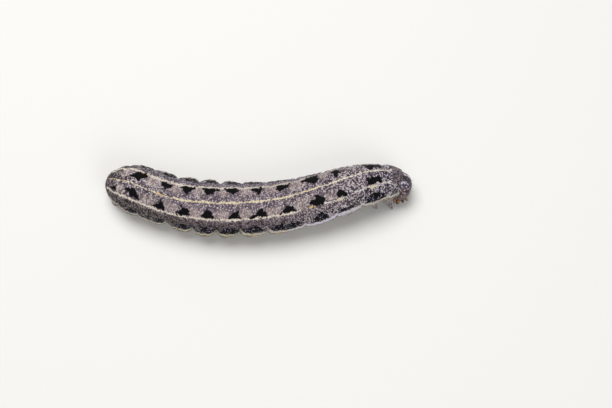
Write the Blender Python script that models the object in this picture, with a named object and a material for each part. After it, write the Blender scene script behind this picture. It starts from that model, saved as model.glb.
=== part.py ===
"""Life-size still model of a common cutworm larva, resting on a floor in a gentle S bend.

Sizes are in millimetres and angles in degrees; MM turns them to metres when a mesh is made. The larva lies
along +X with its head at +X, and the floor is z = 0. Its axis is built from the tail forwards, out of one
row of sizes for each body segment. Girth angles run from 0 on the middle of the back to +180 under the
belly down the larva's right side, and to -180 down its left.
"""

import math

import bmesh
import bpy
from mathutils import Matrix, Vector

MM = 0.001

# Width of the thin cuts that part the body, and of those round each limb and mouth part
CUT = 0.25
LIMB_GAP = 0.25

# Tail to head. Length along the axis, half width, rise of the back and drop of the belly from the axis,
# heading to the left of +X, pitch upwards, roll of the back to the left, height of the side lobe, and how
# far that lobe is drawn forward of the segment's own middle
SEGMENTS = (
    ("abdomen_10", 1.05, 2.67, 2.45, 1.90, -16.0, 14.0, 1.5, 0.08, 0.0),
    ("abdomen_9", 1.26, 2.74, 2.55, 2.05, -15.0, 9.0, 0.0, 0.12, 0.0),
    ("abdomen_8", 2.67, 2.84, 2.60, 2.25, -20.5, 5.0, -1.5, 0.16, 0.0),
    ("abdomen_7", 3.06, 2.89, 2.62, 2.35, -18.5, 2.0, -6.5, 0.18, 0.0),
    ("abdomen_6", 2.72, 2.92, 2.62, 2.40, -12.0, 0.0, -7.0, 0.30, 0.3),
    ("abdomen_5", 2.78, 3.05, 2.62, 2.40, -6.5, 0.0, -3.6, 0.36, 0.0),
    ("abdomen_4", 2.90, 3.04, 2.62, 2.40, -1.0, 0.0, -1.2, 0.36, -0.4),
    ("abdomen_3", 3.12, 3.00, 2.62, 2.40, 3.0, 0.0, 1.6, 0.30, -0.9),
    ("abdomen_2", 3.36, 2.96, 2.58, 2.40, 10.0, 0.0, 5.3, 0.16, -0.5),
    ("abdomen_1", 3.35, 2.92, 2.55, 2.35, 14.5, 3.0, 11.8, 0.12, 0.0),
    ("thorax_3", 3.13, 2.80, 2.45, 2.20, 17.0, 4.5, 16.0, 0.12, 0.0),
    ("thorax_2", 3.13, 2.47, 2.15, 1.90, 12.0, -6.5, 24.5, 0.12, 0.0),
    ("thorax_1", 1.95, 2.02, 1.80, 1.55, 2.0, -25.0, 31.0, 0.08, 0.0),
)
NAMES = [row[0] for row in SEGMENTS]
FRONT = (1.74, 1.60, 1.35, -15.0, -36.0, 36.0, 0.04, 0.0)
TAIL_HEIGHT = 2.15
TAIL_ROUNDING = 4.2
AXIS_STEP = 0.05

# Folds between segments: how deep on the back, the sides and the belly, and how wide along the axis
FOLD_BACK, FOLD_SIDE, FOLD_BELLY, FOLD_WIDTH = 0.10, 0.26, 0.14, 0.32
LOBE_ANGLE, LOBE_SPREAD, LOBE_EVEN = 102.0, 17.0, 0.35
LOBE_SHIFT_FROM, LOBE_SHIFT_TO = 55.0, 95.0

# Horny plates of the first thorax segment and of the tail, raised in the body's own surface
PLATE_RISE, PLATE_ANGLE, PLATE_EDGE = 0.09, 62.0, 9.0

# The tail's first ring is this share of the way into its segment, ahead of the tail's tip
TAIL_OPENING = 0.04

ROUND = 36
RING_SHARES = (0.0, 0.07, 0.26, 0.5, 0.74, 0.93, 1.0)
CUTTER_SHARES = (0.0, 0.2, 0.4, 0.6, 0.8)

# How deep a limb is sunk in the body, as a share of its root's radius, and how far it bows outwards
LIMB_SINK, LIMB_BOW = 0.75, 0.12

# Head capsule: half width, half height from mouth to crown, half depth from face to nape. It is set into
# the front of the thorax, nodded down and turned a little to the larva's right
HEAD_HALF_WIDTH, HEAD_HALF_HEIGHT, HEAD_HALF_DEPTH = 1.60, 1.72, 1.26
HEAD_AHEAD, HEAD_BELOW, HEAD_ASIDE = 0.42, 0.02, 0.14
HEAD_HEADING, HEAD_PITCH, HEAD_ROLL = -12.0, -20.0, 60.0
CROWN_GROOVE, CROWN_GROOVE_WIDTH = 0.08, 10.0
FACE_PANEL, FACE_PANEL_WIDTH = 0.07, 20.0
MOUTH_FLAT = 0.10
NAPE_FULLNESS = 0.11
EYE_RADIUS = 0.11
EYE_ARC = ((62.0, 14.0), (70.0, 4.0), (72.0, -8.0), (66.0, -19.0), (54.0, -26.0), (54.0, -12.0))

# Mouth parts and feelers. Each row says where the piece leaves the underside of the head (forwards, to the
# side), which way it points (forwards, to the side, down), its length past the head, the half sizes of its
# section, and its taper as pairs of a share of the length and a share of the section
STUB_TAPER = ((0.0, 1.0), (0.6, 0.95), (1.0, 0.5))
FLAP_TAPER = ((0.0, 1.0), (0.7, 1.0), (1.0, 0.8))
PALP_TAPER = ((0.0, 1.0), (0.55, 0.8), (0.66, 0.5), (1.0, 0.25))
LABRUM = ((0.80, 0.0), (0.25, 0.0, 1.0), 0.50, (0.48, 0.25), FLAP_TAPER)
LABIUM = ((-0.52, 0.0), (0.1, 0.0, 1.0), 0.58, (0.25, 0.25), PALP_TAPER)
MANDIBLE = ((0.18, 0.50), (0.1, -0.12, 1.0), 0.52, (0.24, 0.27), STUB_TAPER)
MAXILLA = ((-0.36, 0.68), (0.25, -0.15, 1.0), 0.55, (0.25, 0.25), PALP_TAPER)
ANTENNA = ((0.74, 0.84), (0.85, 0.3, 0.3), 0.42, (0.25, 0.25), PALP_TAPER)
MOUTH_ROOT = 0.45
MOUTH_SIDES = 12

PROLEG_SEGMENTS = ("abdomen_3", "abdomen_4", "abdomen_5", "abdomen_6")
PROLEG_SPREAD, PROLEG_ROOT_ANGLE, PROLEG_SIDES = 1.62, 142.0, 14
PROLEG_PROFILE = ((0.0, 0.98), (0.35, 0.90), (0.6, 0.74), (0.78, 0.62), (0.9, 0.66), (1.0, 0.56))
CLASPER_PLACE = 1.30
CLASPER_SPREAD, CLASPER_BEHIND, CLASPER_ROOT_ANGLE = 1.30, 0.20, 138.0
CLASPER_PROFILE = ((0.0, 0.92), (0.35, 0.86), (0.6, 0.72), (0.78, 0.60), (0.9, 0.64), (1.0, 0.54))

LEG_SHARES, LEG_SPREADS, LEG_FORWARDS = (0.30, 0.5, 0.5), (1.75, 1.45, 1.15), (0.58, 0.5, 0.35)
LEG_ROOT_ANGLE, LEG_SIDES = 138.0, 12
LEG_PROFILE = (
    (0.0, 0.58),
    (0.25, 0.54),
    (0.42, 0.47),
    (0.5, 0.40),
    (0.6, 0.42),
    (0.74, 0.33),
    (0.82, 0.27),
    (0.9, 0.25),
    (1.0, 0.14),
)


def station_places():
    """Axis places of the segments' middles, with the tail tip before them and the front edge after."""
    places = [0.0]
    start = 0.0
    for row in SEGMENTS:
        places.append(start + row[1] / 2)
        start += row[1]
    places.append(start)
    return places


STATIONS = station_places()
BODY_LENGTH = STATIONS[-1]


def curve_through(values):
    """A smooth function of axis place through one value for each station."""
    slopes = []
    for i in range(len(STATIONS)):
        before, after = max(i - 1, 0), min(i + 1, len(STATIONS) - 1)
        slopes.append((values[after] - values[before]) / (STATIONS[after] - STATIONS[before]))

    def value_at(place):
        place = min(max(place, 0.0), BODY_LENGTH)
        i = 0
        while i < len(STATIONS) - 2 and place > STATIONS[i + 1]:
            i += 1
        span = STATIONS[i + 1] - STATIONS[i]
        t = (place - STATIONS[i]) / span
        return (
            values[i] * (1 + 2 * t) * (1 - t) ** 2
            + slopes[i] * span * t * (1 - t) ** 2
            + values[i + 1] * t * t * (3 - 2 * t)
            + slopes[i + 1] * span * t * t * (t - 1)
        )

    return value_at


def column(index):
    """One column of SEGMENTS as a smooth function, held level behind the first segment's middle."""
    values = [row[index] for row in SEGMENTS]
    return curve_through([values[0], *values, FRONT[index - 2]])


half_width, rise, drop = column(2), column(3), column(4)
heading, pitch, roll = column(5), column(6), column(7)
lobe_height, lobe_shift = column(8), column(9)


def axis_direction(place):
    turn, climb = math.radians(heading(place)), math.radians(pitch(place))
    return Vector(
        (math.cos(turn) * math.cos(climb), math.sin(turn) * math.cos(climb), math.sin(climb))
    )


def walk_axis():
    """Points on the body's axis at every AXIS_STEP, from the tail tip forwards."""
    points = [Vector((0.0, 0.0, TAIL_HEIGHT))]
    for i in range(math.ceil(BODY_LENGTH / AXIS_STEP) + 1):
        points.append(points[-1] + axis_direction((i + 0.5) * AXIS_STEP) * AXIS_STEP)
    return points


AXIS = walk_axis()


def axis_point(place):
    """A point on the axis. Past either end it runs straight on."""
    if place < 0.0:
        return AXIS[0] + axis_direction(0.0) * place
    if place > BODY_LENGTH:
        return axis_point(BODY_LENGTH) + axis_direction(BODY_LENGTH) * (place - BODY_LENGTH)
    i = int(place / AXIS_STEP)
    return AXIS[i].lerp(AXIS[i + 1], place / AXIS_STEP - i)


def body_frame(place):
    """(forward, back, right) unit directions of the body at an axis place."""
    forward = axis_direction(min(max(place, 0.0), BODY_LENGTH))
    level_right = forward.cross(Vector((0.0, 0.0, 1.0))).normalized()
    level_back = level_right.cross(forward)
    tip = math.radians(roll(place))
    back = math.cos(tip) * level_back - math.sin(tip) * level_right
    right = math.sin(tip) * level_back + math.cos(tip) * level_right
    return forward, back, right


def smooth_step(low, high, value):
    t = min(max((value - low) / (high - low), 0.0), 1.0)
    return t * t * (3 - 2 * t)


def bell(value, spread):
    return math.exp(-((value / spread) ** 2))


def segment_starts():
    starts = [0.0]
    for row in SEGMENTS:
        starts.append(starts[-1] + row[1])
    return starts


STARTS = segment_starts()


def share_of_segment(place):
    """(segment number, how far through it this place is, from 0 to 1)."""
    number = 0
    while number < len(SEGMENTS) - 1 and place > STARTS[number + 1]:
        number += 1
    share = (place - STARTS[number]) / SEGMENTS[number][1]
    return number, min(max(share, 0.0), 1.0)


def tail_closing(place):
    """How much of its full girth the body has: 1 along it, and down to 0 at the tail tip."""
    if place >= TAIL_ROUNDING:
        return 1.0
    return math.sqrt(max(1.0 - (1.0 - max(place, 0.0) / TAIL_ROUNDING) ** 2, 0.0))


def fold_depth(girth):
    """Depth of a fold between segments at a girth angle."""
    side = abs(girth)
    over_back = FOLD_BACK + (FOLD_SIDE - FOLD_BACK) * smooth_step(50.0, 92.0, side)
    return over_back + (FOLD_BELLY - FOLD_SIDE) * smooth_step(112.0, 145.0, side)


def plate_rise(name, share, girth):
    """The horny plates on the back of the first thorax segment and of the tail."""
    over = 1.0 - smooth_step(PLATE_ANGLE - PLATE_EDGE, PLATE_ANGLE + PLATE_EDGE, abs(girth))
    if name == "thorax_1":
        return PLATE_RISE * over * smooth_step(0.2, 0.34, share)
    if name == "abdomen_10":
        return PLATE_RISE * over * (1.0 - smooth_step(0.72, 0.92, share))
    return 0.0


def surface_relief(place, girth):
    """Height of lobes, plates and folds over the body's plain oval section."""
    number, share = share_of_segment(place)
    to_fold = min(abs(place - start) for start in STARTS[1:-1])
    swell = math.sin(math.pi * share) ** 0.8 if 0.0 < share < 1.0 else 0.0
    lobe = lobe_height(place) * (LOBE_EVEN + (1 - LOBE_EVEN) * swell)
    relief = lobe * bell(abs(girth) - LOBE_ANGLE, LOBE_SPREAD)
    relief -= fold_depth(girth) * bell(to_fold, FOLD_WIDTH)
    return relief + plate_rise(NAMES[number], share, girth)


def body_point(place, girth, outward=0.0):
    """A point of the body's surface, or one held off it by outward."""
    shift = lobe_shift(place) * smooth_step(LOBE_SHIFT_FROM, LOBE_SHIFT_TO, abs(girth))
    along = place + shift * tail_closing(place)
    _, back, right = body_frame(along)
    angle = math.radians(girth)
    depth = rise(place) if abs(girth) < 90.0 else drop(place)
    closing = tail_closing(place)
    oval = half_width(place) * math.sin(angle) * right + depth * math.cos(angle) * back
    radial = math.sin(angle) * right + math.cos(angle) * back
    relief = closing * surface_relief(place, girth) + outward
    return axis_point(along) + closing * oval + relief * radial


def body_ring(place, outward=0.0):
    return [body_point(place, 360.0 * i / ROUND - 180.0, outward) for i in range(ROUND)]


def shaped(name, rings, first, last, colour, roughness):
    """A closed object lofted through rings of points, ending in a point or a flat cap at each end."""
    mesh = bmesh.new()
    loops = [[mesh.verts.new(point * MM) for point in ring] for ring in rings]
    for one, two in zip(loops, loops[1:]):
        for i in range(len(one)):
            j = (i + 1) % len(one)
            mesh.faces.new((one[i], one[j], two[j], two[i]))
    for loop, end in ((loops[0][::-1], first), (loops[-1], last)):
        centre = mesh.verts.new(end * MM)
        for i in range(len(loop)):
            mesh.faces.new((loop[i], loop[(i + 1) % len(loop)], centre))
    return finished(name, mesh, colour, roughness)


def finished(name, mesh, colour, roughness):
    """The object of a bmesh, with its faces turned out, shaded smooth and in one plain material."""
    bmesh.ops.recalc_face_normals(mesh, faces=mesh.faces)
    data = bpy.data.meshes.new(name)
    mesh.to_mesh(data)
    mesh.free()
    data.shade_smooth()
    material = bpy.data.materials.new(name)
    material.use_nodes = True
    shader = material.node_tree.nodes["Principled BSDF"]
    shader.inputs["Base Color"].default_value = (*colour, 1.0)
    shader.inputs["Roughness"].default_value = roughness
    shader.inputs["Metallic"].default_value = 0.0
    data.materials.append(material)
    thing = bpy.data.objects.new(name, data)
    bpy.context.scene.collection.objects.link(thing)
    return thing


SKIN_COLOUR = (0.19, 0.16, 0.17)
SOLE_COLOUR = (0.36, 0.31, 0.24)
HEAD_COLOUR = (0.13, 0.06, 0.03)
HORN_COLOUR = (0.05, 0.025, 0.015)
SKIN_ROUGHNESS, HORN_ROUGHNESS = 0.55, 0.3


def helper(name, rings, first, last):
    """A closed cutter, which no render shows."""
    cutter = shaped(name, rings, first, last, SKIN_COLOUR, SKIN_ROUGHNESS)
    cutter.hide_render = True
    cutter.display_type = "WIRE"
    return cutter


def cut_by(thing, cutter):
    modifier = thing.modifiers.new("cut_by_" + cutter.name, "BOOLEAN")
    modifier.operation = "DIFFERENCE"
    modifier.object = cutter


def mean_of(points):
    return sum(points, Vector((0.0, 0.0, 0.0))) / len(points)


def make_body_segment(number):
    """One segment of the body, parted from the next by a thin cut."""
    low = STARTS[number] + (CUT / 2 if number else 0.0)
    high = STARTS[number + 1] - (CUT / 2 if number < len(SEGMENTS) - 1 else 0.0)
    opening = 0.0 if number else TAIL_OPENING
    shares = [opening + (1 - opening) * share for share in RING_SHARES]
    rings = [body_ring(low + (high - low) * share) for share in shares]
    first = mean_of(rings[0]) if number else axis_point(0.0)
    return shaped(NAMES[number], rings, first, mean_of(rings[-1]), SKIN_COLOUR, SKIN_ROUGHNESS)


def make_body_cutter():
    """The whole body, larger all round by the limbs' gap."""
    places = [0.05]
    for number, row in enumerate(SEGMENTS):
        places += [STARTS[number] + row[1] * share for share in CUTTER_SHARES if number or share]
    places.append(BODY_LENGTH)
    rings = [body_ring(place, LIMB_GAP) for place in places]
    forward = axis_direction(BODY_LENGTH)
    rings.append([point + forward * LIMB_GAP for point in rings[-1]])
    tail = axis_point(-LIMB_GAP)
    return helper("body_cutter", rings, tail, mean_of(rings[-1]))


def limb_rings(root, foot, profile, sides, bow):
    """Level rings from a root inside the body down to a flat foot, as wide as the profile says."""
    rings = []
    for share, radius in profile:
        centre = root.lerp(foot, share) + bow * math.sin(math.pi * share)
        centre.z = root.z * (1 - share)
        turns = [2 * math.pi * i / sides for i in range(sides)]
        rings.append(
            [centre + Vector((math.cos(t) * radius, math.sin(t) * radius, 0.0)) for t in turns]
        )
    return rings


def belly_on_floor(place):
    """(the floor under the middle of the belly, level forward direction, level right direction)."""
    forward, _, _ = body_frame(place)
    ahead = Vector((forward.x, forward.y, 0.0)).normalized()
    right = ahead.cross(Vector((0.0, 0.0, 1.0)))
    under = body_point(place, 180.0)
    return Vector((under.x, under.y, 0.0)), ahead, right


def make_limb(name, place, side, spread, forward, root_angle, profile, sides, cutters, colour):
    """A leg or proleg that grows from the belly at one girth angle and stands on the floor."""
    under, ahead, right = belly_on_floor(place)
    foot = under + side * spread * right + forward * ahead
    root = body_point(place, side * root_angle, -LIMB_SINK * profile[0][1])
    rings = limb_rings(root, foot, profile, sides, LIMB_BOW * side * right)
    limb = shaped(name, rings, mean_of(rings[0]), mean_of(rings[-1]), colour, SKIN_ROUGHNESS)
    for cutter in cutters:
        cut_by(limb, cutter)


def place_in(name, share):
    """The axis place this far through a segment, from 0 at its hind end to 1 at its front."""
    number = NAMES.index(name)
    return STARTS[number] + SEGMENTS[number][1] * share


SIDES = (("right", 1), ("left", -1))


def make_prolegs(cutters):
    for number, name in enumerate(PROLEG_SEGMENTS, 3):
        place = place_in(name, 0.5)
        for word, side in SIDES:
            make_limb(
                f"proleg_{number}_{word}",
                place,
                side,
                PROLEG_SPREAD,
                lobe_shift(place),
                PROLEG_ROOT_ANGLE,
                PROLEG_PROFILE,
                PROLEG_SIDES,
                cutters,
                SKIN_COLOUR,
            )


def make_claspers(cutters):
    """The last pair of prolegs, under the tail."""
    for word, side in SIDES:
        make_limb(
            f"proleg_10_{word}",
            CLASPER_PLACE,
            side,
            CLASPER_SPREAD,
            -CLASPER_BEHIND,
            CLASPER_ROOT_ANGLE,
            CLASPER_PROFILE,
            PROLEG_SIDES,
            cutters,
            SKIN_COLOUR,
        )


def make_legs(cutters):
    """The three pairs of jointed legs under the thorax."""
    for number in (1, 2, 3):
        for word, side in SIDES:
            make_limb(
                f"leg_{number}_{word}",
                place_in(f"thorax_{number}", LEG_SHARES[number - 1]),
                side,
                LEG_SPREADS[number - 1],
                LEG_FORWARDS[number - 1],
                LEG_ROOT_ANGLE,
                LEG_PROFILE,
                LEG_SIDES,
                cutters,
                SOLE_COLOUR,
            )


def head_placement():
    """The head's own frame: +X out of the face, +Y to its left, +Z up through the crown."""
    forward, back, right = body_frame(BODY_LENGTH)
    centre = axis_point(BODY_LENGTH) + HEAD_AHEAD * forward - HEAD_BELOW * back + HEAD_ASIDE * right
    turned = Matrix.Rotation(math.radians(HEAD_HEADING), 4, "Z")
    nodded = Matrix.Rotation(math.radians(-HEAD_PITCH), 4, "Y")
    rolled = Matrix.Rotation(math.radians(-HEAD_ROLL), 4, "X")
    return Matrix.Translation(centre) @ turned @ nodded @ rolled


def head_surface(direction):
    """A point of the head capsule in the head's own frame, out along a unit direction."""
    across = math.degrees(math.atan2(direction.y, math.hypot(direction.x, direction.z)))
    upward = math.degrees(math.atan2(direction.z, direction.x))
    size = 1.0
    size -= CROWN_GROOVE * bell(across, CROWN_GROOVE_WIDTH) * smooth_step(28.0, 75.0, upward)
    size -= FACE_PANEL * bell(across, FACE_PANEL_WIDTH) * bell(upward - 8.0, 30.0)
    size -= MOUTH_FLAT * smooth_step(0.62, 0.95, -direction.z)
    behind = max(-direction.x, 0.0)
    size += NAPE_FULLNESS * 2 * behind * math.sqrt(1 - behind**2)
    return Vector(
        (
            direction.x * HEAD_HALF_DEPTH * size,
            direction.y * HEAD_HALF_WIDTH * size,
            direction.z * HEAD_HALF_HEIGHT * size,
        )
    )


def direction_at(across, upward):
    """The head-frame direction at these angles from straight ahead."""
    side, climb = math.radians(across), math.radians(upward)
    return Vector(
        (math.cos(side) * math.cos(climb), math.sin(side), math.cos(side) * math.sin(climb))
    )


def make_ball(name, centre, radius, detail):
    mesh = bmesh.new()
    bmesh.ops.create_icosphere(mesh, subdivisions=detail, radius=radius * MM)
    bmesh.ops.translate(mesh, verts=mesh.verts, vec=centre * MM)
    return finished(name, mesh, HORN_COLOUR, HORN_ROUGHNESS)


def capsule_mesh(placement, outward):
    """The head capsule as a bmesh, or one held off it by outward."""
    mesh = bmesh.new()
    bmesh.ops.create_icosphere(mesh, subdivisions=4, radius=1.0)
    for vert in mesh.verts:
        direction = vert.co.normalized()
        vert.co = placement @ (head_surface(direction) + outward * direction) * MM
    return mesh


def make_head_cutter(placement):
    """The head capsule, larger all round by the limbs' gap."""
    cutter = finished("head_cutter", capsule_mesh(placement, LIMB_GAP), HEAD_COLOUR, HORN_ROUGHNESS)
    cutter.hide_render = True
    cutter.display_type = "WIRE"
    return cutter


def make_head(placement, body_cutter):
    """The head capsule, with its six small eyes on each side joined to it."""
    head = finished("head", capsule_mesh(placement, 0.0), HEAD_COLOUR, HORN_ROUGHNESS)
    eyes = bpy.data.collections.new("eyes")
    bpy.context.scene.collection.children.link(eyes)
    for side in (1, -1):
        for number, (across, upward) in enumerate(EYE_ARC):
            seat = head_surface(direction_at(side * across, upward))
            ball = make_ball(f"eye_{side}_{number}", placement @ seat, EYE_RADIUS, 1)
            bpy.context.scene.collection.objects.unlink(ball)
            eyes.objects.link(ball)
    join = head.modifiers.new("eyes", "BOOLEAN")
    join.operation = "UNION"
    join.operand_type = "COLLECTION"
    join.collection = eyes
    apply_modifiers(head)
    for ball in list(eyes.objects):
        bpy.data.objects.remove(ball)
    bpy.data.collections.remove(eyes)
    cut_by(head, body_cutter)


def apply_modifiers(thing):
    bpy.context.view_layer.update()
    graph = bpy.context.evaluated_depsgraph_get()
    data = bpy.data.meshes.new_from_object(thing.evaluated_get(graph))
    thing.modifiers.clear()
    thing.data = data


def head_underside(ahead, aside):
    """Height of the head's lower surface in its own frame, ahead and aside of its middle."""
    low = HEAD_HALF_HEIGHT * (1 - MOUTH_FLAT)
    spread = (ahead / HEAD_HALF_DEPTH) ** 2 + (aside / HEAD_HALF_WIDTH) ** 2
    return -low * math.sqrt(1.0 - spread)


def make_mouth_part(name, sizes, side, placement, cutters):
    """One tapered piece that grows out of the underside of the head."""
    (ahead, aside), (forwards, sideways, down), length, section, taper = sizes
    outward = Vector((forwards, side * sideways, -down)).normalized()
    seat = Vector((ahead, side * aside, head_underside(ahead, aside)))
    turn = outward.to_track_quat("Z", "X").to_matrix()
    stages = [(-MOUTH_ROOT, 1.0)]
    stages += [(share * (length + LIMB_GAP), width) for share, width in taper[1:]]
    turns = [2 * math.pi * i / MOUTH_SIDES for i in range(MOUTH_SIDES)]
    oval = [Vector((math.cos(t) * section[0], math.sin(t) * section[1], 0.0)) for t in turns]
    rings = []
    for along, width in stages:
        middle = seat + along * outward
        rings.append([placement @ (middle + turn @ (point * width)) for point in oval])
    piece = shaped(name, rings, mean_of(rings[0]), mean_of(rings[-1]), HORN_COLOUR, HORN_ROUGHNESS)
    for cutter in cutters:
        cut_by(piece, cutter)


def make_mouth_parts(placement, cutters):
    """Lips, jaws, palps and feelers, each trimmed to the head it grows from."""
    make_mouth_part("labrum", LABRUM, 1, placement, cutters)
    make_mouth_part("labium", LABIUM, 1, placement, cutters)
    for word, side in SIDES:
        make_mouth_part(f"mandible_{word}", MANDIBLE, -side, placement, cutters)
        make_mouth_part(f"maxilla_{word}", MAXILLA, -side, placement, cutters)
        make_mouth_part(f"antenna_{word}", ANTENNA, -side, placement, cutters)


def set_middle_on_origin(things):
    """Moves every piece so that the middle of their common box is over the origin, on the floor."""
    bpy.context.view_layer.update()
    graph = bpy.context.evaluated_depsgraph_get()
    corners = []
    for thing in things:
        data = thing.evaluated_get(graph).to_mesh()
        corners += [vert.co.copy() for vert in data.vertices]
        thing.evaluated_get(graph).to_mesh_clear()
    middle_x = (min(p.x for p in corners) + max(p.x for p in corners)) / 2
    middle_y = (min(p.y for p in corners) + max(p.y for p in corners)) / 2
    for thing in bpy.context.scene.collection.objects:
        thing.location = (-middle_x, -middle_y, 0.0)


def main():
    for thing in list(bpy.data.objects):
        bpy.data.objects.remove(thing)
    for number in range(len(SEGMENTS)):
        make_body_segment(number)
    placement = head_placement()
    body_cutter, head_cutter = make_body_cutter(), make_head_cutter(placement)
    make_prolegs([body_cutter])
    make_claspers([body_cutter])
    make_legs([body_cutter])
    make_head(placement, body_cutter)
    make_mouth_parts(placement, [head_cutter, body_cutter])
    set_middle_on_origin([t for t in bpy.context.scene.collection.objects if not t.hide_render])


main()
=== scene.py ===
"""The finish of the cutworm larva: one soft patterned skin over its body, a hard glossy head with its eyes,
feelers and mouth parts, the jointed legs, the prolegs with their rows of hooks, and the fine hairs.

Sizes are in millimetres and angles in degrees, and MM turns them to metres when a mesh is made. A place on
the body is its distance along the axis from the tail, and its girth angle, which runs from 0 on the middle
of the back to +180 under the belly down the larva's right side and to -180 down its left.
"""

import math
import random

import bmesh
import bpy
import numpy as np
from mathutils import Matrix, Vector, noise


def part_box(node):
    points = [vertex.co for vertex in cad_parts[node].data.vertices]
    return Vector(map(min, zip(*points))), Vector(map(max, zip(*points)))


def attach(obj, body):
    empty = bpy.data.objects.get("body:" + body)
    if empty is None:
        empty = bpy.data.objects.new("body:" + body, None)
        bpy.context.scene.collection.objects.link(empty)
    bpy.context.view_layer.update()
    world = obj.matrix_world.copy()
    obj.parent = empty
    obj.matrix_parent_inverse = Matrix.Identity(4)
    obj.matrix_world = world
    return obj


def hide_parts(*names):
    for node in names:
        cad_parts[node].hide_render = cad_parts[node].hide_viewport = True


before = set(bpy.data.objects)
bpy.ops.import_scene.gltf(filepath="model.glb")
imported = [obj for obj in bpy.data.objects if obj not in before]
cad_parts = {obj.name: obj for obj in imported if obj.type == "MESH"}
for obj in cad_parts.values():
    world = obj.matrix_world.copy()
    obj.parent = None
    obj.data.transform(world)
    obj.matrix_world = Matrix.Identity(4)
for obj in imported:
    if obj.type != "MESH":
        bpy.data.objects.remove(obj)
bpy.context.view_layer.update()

MM = 0.001
UP, LEVEL = (0.0, 0.0, 1.0), (1.0, 1.0, 0.0)
SIDES = (("right", 1), ("left", -1))

# The solids' own sizes. Tail to head: length along the axis, half width, rise of the back and drop of the
# belly, heading to the left of +X, pitch upwards, roll of the back to the left, height of the side lobe,
# and how far that lobe is drawn forward
SEGMENTS = (
    ("abdomen_10", 1.05, 2.67, 2.45, 1.90, -16.0, 14.0, 1.5, 0.08, 0.0),
    ("abdomen_9", 1.26, 2.74, 2.55, 2.05, -15.0, 9.0, 0.0, 0.12, 0.0),
    ("abdomen_8", 2.67, 2.84, 2.60, 2.25, -20.5, 5.0, -1.5, 0.16, 0.0),
    ("abdomen_7", 3.06, 2.89, 2.62, 2.35, -18.5, 2.0, -6.5, 0.18, 0.0),
    ("abdomen_6", 2.72, 2.92, 2.62, 2.40, -12.0, 0.0, -7.0, 0.30, 0.3),
    ("abdomen_5", 2.78, 3.05, 2.62, 2.40, -6.5, 0.0, -3.6, 0.36, 0.0),
    ("abdomen_4", 2.90, 3.04, 2.62, 2.40, -1.0, 0.0, -1.2, 0.36, -0.4),
    ("abdomen_3", 3.12, 3.00, 2.62, 2.40, 3.0, 0.0, 1.6, 0.30, -0.9),
    ("abdomen_2", 3.36, 2.96, 2.58, 2.40, 10.0, 0.0, 5.3, 0.16, -0.5),
    ("abdomen_1", 3.35, 2.92, 2.55, 2.35, 14.5, 3.0, 11.8, 0.12, 0.0),
    ("thorax_3", 3.13, 2.80, 2.45, 2.20, 17.0, 4.5, 16.0, 0.12, 0.0),
    ("thorax_2", 3.13, 2.47, 2.15, 1.90, 12.0, -6.5, 24.5, 0.12, 0.0),
    ("thorax_1", 1.95, 2.02, 1.80, 1.55, 2.0, -25.0, 31.0, 0.08, 0.0),
)
NAMES = [row[0] for row in SEGMENTS]
FRONT = (1.74, 1.60, 1.35, -15.0, -36.0, 36.0, 0.04, 0.0)
TAIL_HEIGHT, TAIL_ROUNDING = 2.15, 4.2
AXIS_STEP = 0.05
LOBE_ANGLE, LOBE_SPREAD, LOBE_EVEN = 102.0, 17.0, 0.35
LOBE_SHIFT_FROM, LOBE_SHIFT_TO = 55.0, 95.0
PLATE_RISE, PLATE_ANGLE, PLATE_EDGE = 0.09, 62.0, 9.0
PROLEG_SPREAD, PROLEG_ROOT_ANGLE = 1.62, 142.0
CLASPER_SPREAD, CLASPER_BEHIND, CLASPER_ROOT_ANGLE = 1.30, 0.20, 138.0
LEG_ROOT_ANGLE = 138.0

# Each pair of legs: how far through its segment it stands, how far apart and how far forward. The first
# pair reaches a little further forward than its solids do
LEG_STANCES = ((0.30, 1.75, 0.80), (0.5, 1.45, 0.5), (0.5, 1.15, 0.35))

# How far the body's front edge is drawn back behind the crown, the girth angle where it is most, and how
# quickly it grows less to the sides
FRONT_DRAW, FRONT_DRAW_ANGLE, FRONT_DRAW_POWER = 0.80, 35.0, 3.5

# Finer skin folds: depth of the fold between segments on the back, the sides and the belly, and its width
FOLD_BACK, FOLD_SIDE, FOLD_BELLY, FOLD_WIDTH = 0.13, 0.18, 0.20, 0.20
# The segments with prolegs have deeper and wider folds on their sides
FOLD_DEEPER, FOLD_WIDER = 0.27, 0.17
CREASE_SHARES, CREASE_DEPTH, CREASE_WIDTH = (0.30, 0.56, 0.80), 0.045, 0.12
# Only segments longer than this have creases
CREASED_LENGTH = 2.0
SEAM_ANGLES, SEAM_DEPTH, SEAM_WIDTH = (62.0, 124.0), 0.09, 6.0
WRINKLE_HEIGHT, WRINKLE_LENGTH, WRINKLE_ANGLE = 0.035, 0.16, 26.0
GRAIN_HEIGHT, GRAIN_SIZE = 0.012, 0.22
# How far through the first segment the hard shield behind the head begins
PLATE_SHARE = 0.42

# The skin's rows and columns of points, and the rings that turn its front edge in behind the head, as
# (how far ahead, size)
SKIN_ROWS, SKIN_COLUMNS = 560, 168
COLLAR = ((0.10, 0.965), (0.17, 0.90), (0.16, 0.82), (0.06, 0.76), (-0.15, 0.72), (-0.45, 0.68))

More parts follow.
